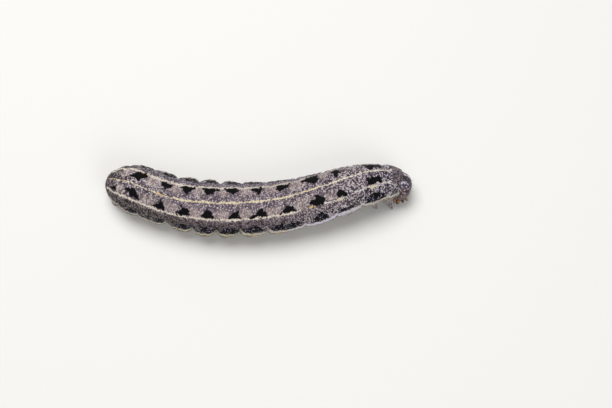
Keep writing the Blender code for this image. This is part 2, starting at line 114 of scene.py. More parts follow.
# One value a segment, tail to head, and one for the front edge: girth angle of the subdorsal lines, girth
# angle and half width of the side band and how lilac it is, and how busy the speckle is
LINE_ANGLES = (39.0, 39.0, 37.0, 36.0, 36.5, 37.0, 37.5, 36.8, 38.0, 40.0, 43.0, 42.2, 41.3, 41.0)
BAND_ANGLES = (84.0, 85.0, 85.0, 87.0, 86.0, 88.0, 86.0, 86.0, 90.0, 93.0, 91.0, 100.0, 94.0, 92.0)
BAND_WIDTHS = (0.13, 0.15, 0.16, 0.18, 0.18, 0.18, 0.18, 0.19, 0.23, 0.30, 0.34, 0.20, 0.16, 0.10)
BAND_LILAC = (0.2, 0.2, 0.3, 0.4, 0.2, 0.1, 0.1, 0.2, 0.5, 1.0, 0.8, 0.3, 0.4, 0.5)
BUSY = (1.0, 1.0, 0.95, 0.75, 0.52, 0.46, 0.46, 0.54, 0.64, 0.70, 0.82, 1.0, 1.0, 0.9)
# Where the cream lines and the side band begin, and the middle and half length of the right line's gap
LINES_FROM, BAND_FROM = 0.75, 0.8
GAP_MIDDLE, GAP_HALF = 23.95, 1.4

# Outlines of the velvet-black marks inside each subdorsal line, as (place, girth angle) on either side
BLACK_RIGHT = (
    ((1.30, 34), (2.05, 33), (2.00, 20), (1.50, 17)),
    ((3.10, 15), (3.94, 30), (4.90, 30), (4.80, 20), (4.34, 9)),
    ((6.65, 30), (7.90, 32), (7.75, 24), (7.45, 18), (7.25, 12), (7.05, 19), (6.95, 25)),
    ((8.95, 31), (9.20, 34), (10.70, 35), (10.45, 27), (10.10, 14), (9.60, 13), (9.42, 22), (9.05, 27)),
    ((11.78, 34), (13.32, 35.5), (13.12, 27), (12.95, 17), (12.40, 15.5), (12.12, 22), (11.85, 28)),
    ((14.68, 34), (16.01, 35), (15.85, 27), (15.76, 19), (15.30, 19), (15.02, 23), (14.80, 29)),
    ((17.10, 35), (18.87, 36), (18.78, 28), (18.62, 21), (18.45, 17), (18.10, 20), (17.50, 27)),
    ((20.34, 35), (22.02, 36), (21.85, 29), (21.67, 22), (21.40, 18), (21.10, 22), (20.60, 29)),
    ((23.69, 29), (24.00, 37), (24.53, 43), (25.20, 41), (25.61, 35), (25.35, 26), (24.92, 14), (24.50, 20)),
    ((26.94, 33), (27.20, 38), (27.90, 41), (28.32, 40), (28.00, 30), (27.70, 22), (27.49, 15), (27.25, 23)),
    ((30.35, 27), (30.44, 38), (31.10, 40), (31.90, 37), (31.85, 28), (31.40, 19), (30.90, 16), (30.55, 20)),
)
BLACK_LEFT = (
    ((1.50, 26), (1.60, 34), (1.95, 36), (1.90, 28)),
    ((3.20, 18), (3.90, 33), (4.40, 39), (4.98, 34), (4.80, 22), (4.38, 12)),
    ((6.50, 30), (7.98, 33), (7.80, 24), (7.34, 12), (6.95, 20)),
    ((8.70, 33), (10.84, 35), (10.60, 26), (10.10, 16), (9.70, 15), (9.20, 24)),
    ((11.50, 34), (13.55, 35), (13.25, 27), (12.80, 18), (12.20, 17), (11.95, 25)),
    ((14.20, 35), (16.05, 36), (15.85, 24), (15.20, 17), (14.60, 23)),
    ((17.00, 35), (18.75, 36), (18.55, 24), (18.10, 17), (17.50, 23)),
    ((19.95, 35), (21.95, 37), (21.70, 25), (20.90, 15), (20.40, 23)),
    ((23.20, 33), (24.20, 41), (25.45, 38), (25.40, 25), (24.85, 11), (24.40, 17), (23.70, 24)),
    ((26.95, 37), (28.20, 40), (28.15, 27), (27.60, 11), (27.25, 17), (27.30, 25)),
    ((30.50, 28), (31.30, 31), (32.10, 24), (32.00, 16), (31.30, 14), (30.93, 6), (30.70, 14)),
)
MARK_REACH = 2.0
# Dark blotches on the side lobes: middle and half length along the body, and the girth angle of their top
SIDE_BLOTCHES = (
    (4.3, 0.55, 66.0), (7.3, 0.65, 66.0), (10.2, 0.95, 59.0), (12.5, 0.85, 60.0), (15.1, 0.85, 58.0),
    (17.6, 1.05, 59.0), (20.9, 1.25, 62.0), (24.6, 0.90, 63.0), (27.6, 0.90, 73.0), (30.9, 1.05, 67.0),
)
# Their foot's angle, how much higher they reach on the left, and how square and how long their ovals are
BLOTCH_FOOT, BLOTCH_LEFT_RISE, BLOTCH_SQUARE, BLOTCH_SWELL = 98.0, 6.0, 2.6, 1.12
# Pale patches between the black marks, and cream and orange ones on or just under the subdorsal lines:
# middle along the body, half length, girth angle, half height
PALE_PATCHES = (
    (2.55, 0.60, 24.0, 0.65), (5.75, 1.00, 24.0, 0.75), (8.50, 0.80, 25.0, 0.68),
    (11.15, 0.85, 28.0, 0.62), (13.95, 0.95, 28.5, 0.60), (16.72, 0.85, 28.5, 0.60),
    (19.65, 0.95, 28.5, 0.60), (22.80, 1.05, 26.0, 0.68), (26.15, 0.65, 31.0, 0.50),
)
CREAM_PATCHES = ((27.2, 0.48, 44.5, 0.14), (30.85, 0.44, 44.5, 0.20))
RIGHT_ORANGE = ((24.0, 0.30, 39.0, 0.09),)
ORANGE_PATCHES = (
    (7.0, 0.24, 0.0, 0.045), (20.6, 0.35, 92.0, 0.10), (18.2, 0.3, 91.0, 0.10), (12.4, 0.2, 93.0, 0.08),
)
# What a mask holds where no patch or mark is near
FAR_OUTSIDE = -9.0


def smooth_step(low, high, value):
    t = np.clip((value - low) / (high - low), 0.0, 1.0)
    return t * t * (3 - 2 * t)


def fall(low, high, value):
    """1 below low, 0 above high, and smooth between."""
    return 1.0 - smooth_step(low, high, value)


def bell(value, spread):
    return np.exp(-((value / spread) ** 2))


ENDS = np.cumsum([0.0, *(row[1] for row in SEGMENTS)])
BODY_LENGTH = ENDS[-1]
STATIONS = np.array([0.0, *((ENDS[:-1] + ENDS[1:]) / 2), BODY_LENGTH])


def curve_through(values):
    """A smooth function of body place, through one value a segment and one for the front edge."""
    knots = np.array([values[0], *values])
    last = len(STATIONS) - 1
    before = np.maximum(np.arange(last + 1) - 1, 0)
    after = np.minimum(np.arange(last + 1) + 1, last)
    slopes = (knots[after] - knots[before]) / (STATIONS[after] - STATIONS[before])

    def value_at(place):
        place = np.clip(place, 0.0, BODY_LENGTH)
        i = np.clip(np.searchsorted(STATIONS, place, side="right") - 1, 0, last - 1)
        span = STATIONS[i + 1] - STATIONS[i]
        t = (place - STATIONS[i]) / span
        return (
            knots[i] * (1 + 2 * t) * (1 - t) ** 2
            + slopes[i] * span * t * (1 - t) ** 2
            + knots[i + 1] * t * t * (3 - 2 * t)
            + slopes[i + 1] * span * t * t * (t - 1)
        )

    return value_at


def column(index):
    return curve_through([row[index] for row in SEGMENTS] + [FRONT[index - 2]])


half_width, rise, drop, heading, pitch, roll, lobe_height, lobe_shift = map(column, range(2, 10))
line_angle, band_angle, band_width, band_lilac, busy_at = map(
    curve_through, (LINE_ANGLES, BAND_ANGLES, BAND_WIDTHS, BAND_LILAC, BUSY)
)


def axis_direction(place):
    turn, climb = np.radians(heading(place)), np.radians(pitch(place))
    return np.stack([np.cos(turn) * np.cos(climb), np.sin(turn) * np.cos(climb), np.sin(climb)], -1)


def walk_axis():
    """Points on the body's axis at every AXIS_STEP, before it is set where the solids are."""
    steps = math.ceil(BODY_LENGTH / AXIS_STEP) + 1
    middles = (np.arange(steps) + 0.5) * AXIS_STEP
    start = np.array([[0.0, 0.0, TAIL_HEIGHT]])
    return np.concatenate([start, start + np.cumsum(axis_direction(middles) * AXIS_STEP, axis=0)])


AXIS = walk_axis()


def axis_point(place):
    """A point on the axis. Past either end it runs straight on."""
    place = np.asarray(place, float)
    inside = np.clip(place, 0.0, BODY_LENGTH)
    marks = np.arange(len(AXIS)) * AXIS_STEP
    points = np.stack([np.interp(inside, marks, AXIS[:, k]) for k in range(3)], -1)
    return points + (place - inside)[..., None] * axis_direction(inside)


def body_frame(place):
    """(forward, back, right) unit directions of the body at axis places."""
    forward = axis_direction(np.clip(place, 0.0, BODY_LENGTH))
    level_right = np.cross(forward, UP)
    level_right /= np.linalg.norm(level_right, axis=-1, keepdims=True)
    level_back = np.cross(level_right, forward)
    tip = np.radians(roll(place))[..., None]
    back = np.cos(tip) * level_back - np.sin(tip) * level_right
    right = np.sin(tip) * level_back + np.cos(tip) * level_right
    return forward, back, right


def segment_at(place):
    """(segment numbers, how far through each these places are, from 0 to 1)."""
    number = np.clip(np.searchsorted(ENDS, place, side="right") - 1, 0, len(SEGMENTS) - 1)
    share = (place - ENDS[number]) / (ENDS[number + 1] - ENDS[number])
    return number, np.clip(share, 0.0, 1.0)


def place_in(name, share):
    """The place this share of the way through a segment."""
    number = NAMES.index(name)
    return ENDS[number] + (ENDS[number + 1] - ENDS[number]) * share


def tail_closing(place):
    return np.sqrt(np.clip(1.0 - (1.0 - np.clip(place / TAIL_ROUNDING, 0.0, 1.0)) ** 2, 0.0, 1.0))


def fold_shape(place, girth):
    """(depth, width) of the folds between segments."""
    side = np.abs(girth)
    scalloped = smooth_step(5.0, 8.0, place) * fall(17.5, 20.5, place) * smooth_step(55.0, 92.0, side)
    depth = FOLD_BACK + (FOLD_SIDE - FOLD_BACK) * smooth_step(50.0, 92.0, side) + FOLD_DEEPER * scalloped
    in_belly = smooth_step(112.0, 145.0, side)
    wider = FOLD_WIDER * (1 + 0.5 * (girth < 0)) * scalloped * (1 - in_belly)
    return depth + (FOLD_BELLY - depth) * in_belly, FOLD_WIDTH + wider


def surface_relief(place, girth):
    """Height of lobes, plates, folds and creases over the body's plain oval section."""
    side = np.abs(girth)
    number, share = segment_at(place)
    to_fold = np.min(np.abs(place[..., None] - ENDS[1:-1]), axis=-1)
    swell = np.sin(np.pi * np.clip(share, 1e-4, 1 - 1e-4)) ** 0.8
    relief = lobe_height(place) * (LOBE_EVEN + (1 - LOBE_EVEN) * swell) * bell(side - LOBE_ANGLE, LOBE_SPREAD)
    depth, width = fold_shape(place, girth)
    relief = relief - depth * bell(to_fold / width, 1.0)
    lengths = (ENDS[1:] - ENDS[:-1])[number]
    plate = fall(PLATE_ANGLE - PLATE_EDGE, PLATE_ANGLE + PLATE_EDGE, side)
    shield = (number == NAMES.index("thorax_1")) * plate * smooth_step(0.2, 0.3, share)
    tail_plate = (number == 0) * plate * fall(0.78, 0.92, share)
    hard = np.clip(shield + tail_plate, 0.0, 1.0)
    creased = (1 - hard) * (lengths > CREASED_LENGTH)
    for at in CREASE_SHARES:
        relief = relief - CREASE_DEPTH * bell((share - at) * lengths, CREASE_WIDTH) * creased
    for at in SEAM_ANGLES:
        relief = relief - SEAM_DEPTH * bell(side - at, SEAM_WIDTH) * swell
    return relief + PLATE_RISE * hard


def front_draw(place, girth):
    """How far a point near the head is drawn back, where the nodding head leaves the skin slack."""
    most = 0.5 + 0.5 * np.cos(np.radians(girth - FRONT_DRAW_ANGLE))
    return FRONT_DRAW * most**FRONT_DRAW_POWER * smooth_step(ENDS[-2] - 0.6, BODY_LENGTH, place)


def body_point(place, girth):
    """Points of the body's surface before it is set where the solids are."""
    place, girth = np.broadcast_arrays(np.asarray(place, float), np.asarray(girth, float))
    closing = tail_closing(place)
    along = place + lobe_shift(place) * smooth_step(LOBE_SHIFT_FROM, LOBE_SHIFT_TO, np.abs(girth)) * closing
    along = along - front_draw(place, girth)
    _, back, right = body_frame(along)
    angle = np.radians(girth)[..., None]
    depth = np.where(np.abs(girth) < 90.0, rise(place), drop(place))[..., None]
    oval = half_width(place)[..., None] * np.sin(angle) * right + depth * np.cos(angle) * back
    radial = np.sin(angle) * right + np.cos(angle) * back
    relief = closing * surface_relief(place, girth)
    return axis_point(along) + closing[..., None] * oval + relief[..., None] * radial


def solids_offset():
    """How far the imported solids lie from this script's own tail-based places, level with the floor."""
    name, cut = "abdomen_4", 0.13
    number = NAMES.index(name)
    places = np.linspace(ENDS[number] + cut, ENDS[number + 1] - cut, 9)
    mine = body_point(places[:, None], np.arange(-180.0, 180.0, 10.0)[None, :]).reshape(-1, 3)
    low, high = (np.array(corner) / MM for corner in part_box(name))
    offset = (low + high) / 2 - (mine.min(axis=0) + mine.max(axis=0)) / 2
    return offset * LEVEL


OFFSET = solids_offset()


def skin_frame(place, girth):
    """(point, outward normal, forward direction) of the skin at one place, set where the solids are."""
    step, turn = 0.02, 0.5
    at = body_point(place, girth)
    ahead = body_point(place + step, girth) - body_point(place - step, girth)
    around = body_point(place, girth + turn) - body_point(place, girth - turn)
    normal = np.cross(around, ahead)
    normal /= np.linalg.norm(normal)
    return at + OFFSET, normal, ahead / np.linalg.norm(ahead)


def set_material(thing, material):
    thing.data.materials.clear()
    if material:
        thing.data.materials.append(material)
    return thing


def mesh_piece(name, points, faces, material):
    """A smooth-shaded object from points in millimetres and faces of point numbers."""
    data = bpy.data.meshes.new(name)
    data.from_pydata((np.asarray(points) * MM).tolist(), [], [list(map(int, face)) for face in faces])
    data.validate()
    data.update()
    data.shade_smooth()
    thing = bpy.data.objects.new(name, data)
    bpy.context.scene.collection.objects.link(thing)
    return set_material(thing, material)


def lofted(rings):
    """(points, faces) through rings of equal size, tail end to head end, closed by a point at each end."""
    rings = np.asarray(rings)
    rows, sides = rings.shape[:2]
    last, end = (rows - 1) * sides, rows * sides
    points = [*rings.reshape(-1, 3), rings[0].mean(axis=0), rings[-1].mean(axis=0)]
    pairs = [(i, (i + 1) % sides) for i in range(sides)]
    faces = []
    for at in range(0, last, sides):
        faces += [(at + i, at + j, at + sides + j, at + sides + i) for i, j in pairs]
    for i, j in pairs:
        faces += [(j, i, end), (last + i, last + j, end + 1)]
    return np.array(points), faces


def add_attribute(thing, name, values, kind="FLOAT"):
    """Gives the mesh a number, or a direction, at each of its points."""
    layer = thing.data.attributes.new(name, kind, "POINT")
    values = np.ascontiguousarray(values, dtype=np.float32)
    layer.data.foreach_set("value" if kind == "FLOAT" else "vector", values.ravel())


def kept(thing, slot, *nodes):
    """Fixes a finished piece to the larva and hides the solids that it stands for."""
    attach(thing, "root")
    if nodes:
        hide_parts(*nodes)
    return thing


def colour(red, green, blue):
    """A display colour from 0 to 255 as the linear colour that a shader takes."""
    linear = []
    for value in (red, green, blue):
        share = value / 255
        linear.append(share / 12.92 if share <= 0.04045 else ((share + 0.055) / 1.055) ** 2.4)
    return (*linear, 1.0)


class Finish:
    """A material being built. Its methods add nodes, and most return a result to feed to others."""

    def __init__(self, name, base=None):
        self.material = bpy.data.materials.new(name)
        self.material.use_nodes = True
        self.tree = self.material.node_tree
        self.here = self.node("ShaderNodeTexCoord").outputs["Object"]
        self.base = base

    def feed(self, node, inputs):
        """Gives a node's inputs their values, or links them to results."""
        for key, value in inputs.items():
            if isinstance(value, bpy.types.NodeSocket):
                self.tree.links.new(value, node.inputs[key])
            else:
                node.inputs[key].default_value = value

    def node(self, kind, inputs=(), **settings):
        made = self.tree.nodes.new(kind)
        for key, value in settings.items():
            setattr(made, key, value)
        self.feed(made, dict(inputs))
        return made

    def maths(self, operation, *values, clamp=False):
        return self.node("ShaderNodeMath", enumerate(values), operation=operation, use_clamp=clamp).outputs[0]

    def times(self, first, *others):
        for other in others:
            first = self.maths("MULTIPLY", first, other)
        return first

    def most(self, first, *others):
        for other in others:
            first = self.maths("MAXIMUM", first, other)
        return first

    def scaled(self, value, by, plus, clamp=False):
        """The value times by, and plus added."""
        return self.maths("MULTIPLY_ADD", value, by, plus, clamp=clamp)

    def off(self, value, middle):
        """How far a value is from a middle one."""
        return self.maths("ABSOLUTE", self.maths("SUBTRACT", value, middle))

    def attribute(self, name):
        return self.node("ShaderNodeAttribute", attribute_name=name).outputs["Fac"]

    def noise(self, size, detail=2.0, roughness=0.5):
        """Cloudy noise from 0 to 1 whose lumps are about size millimetres across."""
        inputs = {"Vector": self.here, "Scale": 1 / (size * MM), "Detail": detail, "Roughness": roughness}
        return self.node("ShaderNodeTexNoise", inputs).outputs["Fac"]

    def warped(self, size, reach):
        """The object's coordinates, pushed about by up to reach millimetres in lumps of this size."""
        push = self.node("ShaderNodeTexNoise", {"Vector": self.here, "Scale": 1 / (size * MM)})
        parts = {0: push.outputs["Color"], 1: (0.5, 0.5, 0.5)}
        centred = self.node("ShaderNodeVectorMath", parts, operation="SUBTRACT")
        parts = {0: centred.outputs["Vector"], 1: (2 * reach * MM,) * 3, 2: self.here}
        return self.node("ShaderNodeVectorMath", parts, operation="MULTIPLY_ADD").outputs["Vector"]

    def cells(self, size, at, feature="F1"):
        """Cells about size millimetres across."""
        return self.node("ShaderNodeTexVoronoi", {"Vector": at, "Scale": 1 / (size * MM)}, feature=feature)

    def granules(self, size, at):
        """(a random tone for every granule, the distance from its middle in granule sizes)."""
        made = self.cells(size, at)
        return made.outputs["Color"], made.outputs["Distance"]

    def ramp(self, value, low, high):
        """0 below low, 1 above high, and smooth between. high may be the smaller, which turns it round."""
        inputs = {"Value": value, "From Min": low, "From Max": high}
        return self.node("ShaderNodeMapRange", inputs, interpolation_type="SMOOTHSTEP").outputs["Result"]

    def ragged(self, name, wander, rough, edge):
        """A mask that is 1 where the attribute is over 0, its border moved about by wander times rough."""
        moved = self.scaled(self.maths("SUBTRACT", rough, 0.5), wander, self.attribute(name))
        return self.ramp(moved, -edge, edge)

    def mix(self, share, first, second):
        inputs = {"Factor": share, "A": first, "B": second}
        return self.node("ShaderNodeMix", inputs, data_type="RGBA").outputs["Result"]

    def between(self, value, low, high, first, second):
        """The first tone where the value is low, the second where it is high."""
        return self.mix(self.ramp(value, low, high), first, second)

    def lay(self, mask, tone, strength=1.0):
        """Lays a tone over the base colour where the mask is 1."""
        share = mask if strength == 1.0 else self.times(mask, strength)
        self.base = self.mix(share, self.base, tone)

    def finish(self, roughness, bumps=(), **uniform):
        """The finished material. Bumps are pairs of height and depth in millimetres."""
        shader = self.tree.nodes["Principled BSDF"]
        inputs = {key.replace("_", " "): value for key, value in uniform.items()}
        normal = {}
        for height, depth in bumps:
            form = {"Height": height, "Distance": depth * MM, "Strength": 1.0}
            normal = {"Normal": self.node("ShaderNodeBump", form | normal).outputs["Normal"]}
        self.feed(shader, {"Base Color": self.base, "Roughness": roughness, **inputs, **normal})
        return self.material


MAUVE, MAUVE_GREY = colour(104, 90, 103), colour(120, 107, 114)
DARK_VEIN, PALE_FLECK = colour(28, 22, 27), colour(205, 195, 197)
PALE_PATCH, PATCH_FLECK = colour(153, 138, 137), colour(208, 196, 194)
BLACK, SPECK_BLUE = colour(5, 4, 6), colour(158, 152, 180)
CREAM, CREAM_LINE, LINE_SHADE = colour(208, 195, 164), colour(218, 209, 193), colour(168, 150, 128)
CREAM_SPOT, PALE_LINE, ORANGE = colour(191, 182, 160), colour(196, 192, 190), colour(204, 170, 112)
SIDE_MAUVE, SIDE_DARK = colour(110, 95, 101), colour(66, 56, 60)
FAR_LILAC, SIDE_REAR = colour(114, 105, 119), colour(76, 66, 64)
FRONT_BLUE, TAIL_BROWN = colour(75, 71, 92), colour(64, 54, 53)
BAND_GREEN, BAND_WHITE = colour(190, 184, 152), colour(216, 209, 225)
BELLY, BELLY_DARK = colour(178, 171, 158), colour(150, 140, 130)
SHIELD, SHIELD_DARK = colour(112, 98, 104), colour(42, 32, 38)
FINE_GRANULE, COARSE_GRANULE = 0.14, 0.31


def skin_finish():
    made = Finish("patterned_skin")
    wavy = made.warped(0.16, 0.06)
    worm, curl = made.noise(0.22, 2.0, 0.55), made.noise(0.42, 2.5, 0.58)
    broad, patchy = made.noise(1.4), made.noise(0.55, 3.0, 0.6)
    rough, rougher = made.ramp(worm, 0.30, 0.70), made.ramp(patchy, 0.32, 0.68)
    busy, place, far_side = map(made.attribute, ("busy", "place", "far_side"))
    clear = made.ragged("pale", 0.9, rougher, 0.45)
    in_front, at_tail = made.ramp(place, 29.5, 32.0), made.ramp(place, 3.0, 1.0)

    # Every granule of the skin has its own tone, and dark winding lines run between groups of them
    tone, apart = made.granules(FINE_GRANULE, wavy)
    coarse, coarse_apart = made.granules(COARSE_GRANULE, wavy)
    bead, wide_bead = made.ramp(apart, 0.62, 0.36), made.ramp(apart, 0.80, 0.50)
    vein = made.times(made.ramp(made.off(curl, 0.5), 0.060, 0.020), made.ramp(patchy, 0.38, 0.54))
    vein = made.times(vein, made.scaled(busy, 0.65, 0.10))
    dark = made.times(made.ramp(tone, 0.45, 0.37), wide_bead, made.scaled(busy, 0.60, 0.50, clamp=True))
    clump = made.times(made.ramp(coarse, 0.44, 0.36), made.ramp(coarse_apart, 0.75, 0.50))
    clump = made.times(clump, made.scaled(busy, 1.7, -0.6, clamp=True))
    dark = made.times(made.most(dark, clump, vein), made.scaled(clear, -0.30, 1.0))
    # Pale flecks: partly the skin's own pale speckle, partly painted highlights on its moist granules
    light = made.times(made.ramp(tone, 0.54, 0.62), bead, made.scaled(busy, 0.60, 0.45))
    pale_clump = made.times(made.ramp(coarse, 0.56, 0.64), made.ramp(coarse_apart, 0.60, 0.35))
    pale_clump = made.times(pale_clump, made.scaled(busy, 1.4, -0.7, clamp=True))
    dull = made.times(made.attribute("side"), made.ramp(place, 28.0, 14.0))
    dull = made.most(made.maths("SUBTRACT", dull, far_side, clamp=True), at_tail)
    light = made.times(made.most(light, pale_clump), made.scaled(dull, -0.60, 1.0))

    # The ground colours, the speckle on them, whose pale flecks are partly painted highlights, and the pale
    # belly
    side = made.between(patchy, 0.38, 0.62, SIDE_MAUVE, SIDE_DARK)
    side = made.between(place, 13.0, 8.0, side, SIDE_REAR)
    side = made.between(place, 16.0, 25.0, side, MAUVE_GREY)
    made.base = made.between(broad, 0.38, 0.62, MAUVE, MAUVE_GREY)
    made.lay(made.attribute("side"), made.mix(far_side, side, FAR_LILAC))
    made.lay(in_front, FRONT_BLUE, 0.85)
    made.lay(at_tail, made.mix(rougher, TAIL_BROWN, SIDE_DARK), 0.85)
    made.lay(clear, PALE_PATCH, 0.95)
    made.lay(dark, DARK_VEIN, 0.88)
    made.lay(light, made.mix(clear, PALE_FLECK, PATCH_FLECK), 0.90)
    belly = made.between(patchy, 0.36, 0.64, BELLY, BELLY_DARK)
    made.lay(made.attribute("under"), made.mix(made.times(dark, 0.25), belly, DARK_VEIN))

    # The side blotches with their blue specks, which are partly painted highlights, the shield, the side
    # band, the lines and the marks
    # Blue specks on the blotches: partly pale specks, partly painted highlights
    speck = made.times(made.ramp(tone, 0.66, 0.72), made.ramp(apart, 0.55, 0.30), 0.9)
    made.lay(made.ragged("blotch", 0.6, rougher, 0.06), made.mix(speck, BLACK, SPECK_BLUE))
    made.lay(made.attribute("plate"), made.between(curl, 0.42, 0.56, SHIELD_DARK, SHIELD), 0.7)
    band = made.mix(made.attribute("band_lilac"), BAND_GREEN, BAND_WHITE)
    band = made.mix(made.times(wide_bead, 0.30), band, made.between(tone, 0.35, 0.6, SIDE_DARK, band))
    made.lay(made.ragged("band", 0.08, rough, 0.05), band)
    beaded = made.most(made.ramp(tone, 0.28, 0.46), made.ramp(apart, 0.3, 0.7))
    back_cream = made.between(place, 24.0, 29.0, CREAM, CREAM_LINE)
    made.lay(made.ragged("back_line", 0.13, rough, 0.03), made.mix(beaded, LINE_SHADE, back_cream), 0.94)
    # The side line is dimmed on the far side, where more light falls on it: painted shade
    side_line = made.times(made.ragged("side_line", 0.16, rough, 0.03), made.scaled(far_side, -0.3, 0.92))
    side_cream = made.between(place, 24.5, 27.0, CREAM_LINE, PALE_LINE)
    made.lay(side_line, made.mix(beaded, LINE_SHADE, side_cream))
    made.lay(made.ragged("cream", 0.15, rough, 0.04), CREAM_SPOT)
    made.lay(made.ragged("orange", 0.16, rough, 0.04), ORANGE)
    mark = made.ragged("mark", 0.34, rougher, 0.04)
    made.lay(mark, BLACK)
    bumps = ((curl, 0.05), (made.ramp(apart, 0.9, 0.1), 0.022))
    return made.finish(made.scaled(mark, 0.12, 0.5), bumps, Specular_IOR_Level=0.09)


def place_rows():
    """Body places of the skin's rows, evenly spread over the surface round the tail and along the back."""
    fine = np.linspace(0.0, BODY_LENGTH, 6000)
    radius = tail_closing(fine) * half_width(fine)
    reach = np.concatenate([[0.0], np.cumsum(np.hypot(np.diff(fine), np.diff(radius)))])
    return np.interp(np.linspace(0.0, reach[-1], SKIN_ROWS + 1), reach, fine)[1:]


def arc_mm(place, degrees):
    """Length round the body of this many degrees of girth."""
    return np.radians(degrees) * (half_width(place) + rise(place)) / 2 * tail_closing(place)


def patch_depth(place, girth, patches):
    """How far inside the nearest oval patch each point is, in millimetres, and negative outside."""
    best = np.full(place.shape, FAR_OUTSIDE)
    for middle, half_length, angle, half_height in patches:
        along = (place - middle) / half_length
        across = arc_mm(place, np.abs(girth) - angle) / half_height
        best = np.maximum(best, (1.0 - np.hypot(along, across)) * min(half_length, half_height))
    return best


def outline_depth(x, y, corners):
    """How far inside a closed outline each point is, and negative outside."""
    nearest = np.full(x.shape, np.inf)
    inside = np.zeros(x.shape, bool)
    for (ax, ay), (bx, by) in zip(corners, [*corners[1:], corners[0]]):
        run, climb = bx - ax, by - ay
        t = np.clip(((x - ax) * run + (y - ay) * climb) / (run * run + climb * climb), 0.0, 1.0)
        nearest = np.minimum(nearest, np.hypot(x - ax - t * run, y - ay - t * climb))
        crosses = (ay > y) != (by > y)
        inside ^= crosses & (x < ax + run * (y - ay) / (climb if climb else 1e-9))
    return np.where(inside, nearest, -nearest)


def mark_depth(place, girth):
    """How far inside the nearest black mark each point is, in millimetres, and negative outside."""
    best = np.full(place.shape, FAR_OUTSIDE)
    for outlines, side in ((BLACK_RIGHT, 1), (BLACK_LEFT, -1)):
        for outline in outlines:
            middle = sum(corner[0] for corner in outline) / len(outline)
            per_degree = float(arc_mm(np.array(middle), 1.0))
            corners = [(at, degrees * per_degree) for at, degrees in outline]
            near = (np.abs(place - middle) < MARK_REACH) & (np.sign(girth) == side)
            depth = outline_depth(place[near], np.abs(girth[near]) * per_degree, corners)
            best[near] = np.maximum(best[near], depth)
    return best


def blotch_depth(place, girth):
    """How far inside the nearest side blotch each point is. They end above the side band."""
    side = np.abs(girth)
    best = np.full(place.shape, FAR_OUTSIDE)
    for middle, half_length, top in SIDE_BLOTCHES:
        top = top - BLOTCH_LEFT_RISE * (girth < 0)
        half_height = (BLOTCH_FOOT - top) / 2
        along = np.abs(place - middle) / (half_length * BLOTCH_SWELL)
        across = np.abs(side - top - half_height) / half_height
        oval = (along**BLOTCH_SQUARE + across**BLOTCH_SQUARE) ** (1 / BLOTCH_SQUARE)
        best = np.maximum(best, (1.0 - oval) * half_length)
    return np.minimum(best, arc_mm(place, band_angle(place) - side) - band_width(place))


def skin_pattern(place, girth):
    """The values that the skin's finish reads, by name. A ragged patch is where its value is over 0."""
    side = np.abs(girth)
    share = segment_at(place)[1]
    front = place_in("thorax_1", PLATE_SHARE)
    lined = np.minimum(front - place, place - LINES_FROM)
    wander = 0.05 * np.sin(place * 2.3) + 0.03 * np.sin(place * 5.9)
    swell = np.sin(np.pi * share)
    band_at = band_angle(place) - 4.0 * (1 - swell)
    plate = fall(28.0, 50.0, side) * smooth_step(0.0, 0.12, place - front)
    tail_plate = fall(50.0, 60.0, side) * fall(0.8, 0.95, place)
    gap = np.where(girth > 0, np.abs(place - GAP_MIDDLE) - GAP_HALF, 1.0)
    half_line = 0.105 + 0.02 * np.sin(place * 2.2) + 0.04 * (girth < 0) * fall(18.0, 22.0, place)
    half_line = half_line - 0.045 * smooth_step(24.0, 26.0, place) + 0.02 * smooth_step(30.0, 31.5, place)
    half_back = 0.055 + 0.05 * smooth_step(6.0, 10.0, place) - 0.02 * smooth_step(17.0, 25.0, place)
    half_back = half_back * (0.72 + 0.40 * swell)
    below_line = arc_mm(place, side - line_angle(place))
    side_line = half_line - np.abs(below_line + 0.5 * wander)
    below_band = arc_mm(place, side - band_at)
    orange_right = patch_depth(place, np.maximum(girth, 0.0), RIGHT_ORANGE)
    return {
        "back_line": np.minimum(half_back - np.abs(arc_mm(place, girth) + 0.4 * wander), lined),
        "side_line": np.minimum(np.minimum(side_line, lined), gap),
        "mark": mark_depth(place, girth),
        "blotch": blotch_depth(place, girth),
        "pale": patch_depth(place, girth, PALE_PATCHES) / 0.5,
        "cream": patch_depth(place, girth, CREAM_PATCHES),
        "orange": np.maximum(patch_depth(place, girth, ORANGE_PATCHES), orange_right),
        "band": np.minimum(band_width(place) - np.abs(below_band), place - BAND_FROM),
        "band_lilac": band_lilac(place),
        "side": smooth_step(0.0, 0.35, below_line - 0.1),
        "under": smooth_step(0.0, 0.3, below_band - band_width(place)),
        "place": place,
        "far_side": 0.7 * (girth < 0) * smooth_step(2.0, 5.0, place) * fall(27.0, 30.0, place),
        "busy": np.clip(busy_at(place) + 0.35 * smooth_step(45, 70, side), 0.0, 1.0),
        "plate": np.clip(plate + tail_plate, 0.0, 1.0),
    }


def smooth_noise(points, size, seed):
    """Even noise from -1 to 1 with lumps about size millimetres across."""
    start = Vector((seed * 7.3, seed * 3.1, seed * 5.7))
    return np.array([noise.noise(Vector(point) / size + start) for point in points])


def limb_line(side, place, spread, forward, root_angle):
    """(root on the skin, foot on the floor, level outward direction) of a limb."""
    ahead = axis_direction(place) * LEVEL
    ahead /= np.linalg.norm(ahead)
    right = np.cross(ahead, UP)
    foot = body_point(place, 180.0) * LEVEL + side * spread * right + forward * ahead
    root = body_point(place, side * root_angle)
    return root + OFFSET, foot + OFFSET, side * right


def limb_pair(name, *stance):
    """The lines of a right and a left limb, by the names of the solids that they stand for."""
    return {f"{name}_{word}": limb_line(side, *stance) for word, side in SIDES}


def proleg_lines():
    lines = {}
    for number in (3, 4, 5, 6):
        place = place_in(f"abdomen_{number}", 0.5)
        shift = float(lobe_shift(place))
        lines |= limb_pair(f"proleg_{number}", place, PROLEG_SPREAD, shift, PROLEG_ROOT_ANGLE)
    behind = ENDS[1] + 0.25
    return lines | limb_pair("proleg_10", behind, CLASPER_SPREAD, -CLASPER_BEHIND, CLASPER_ROOT_ANGLE)


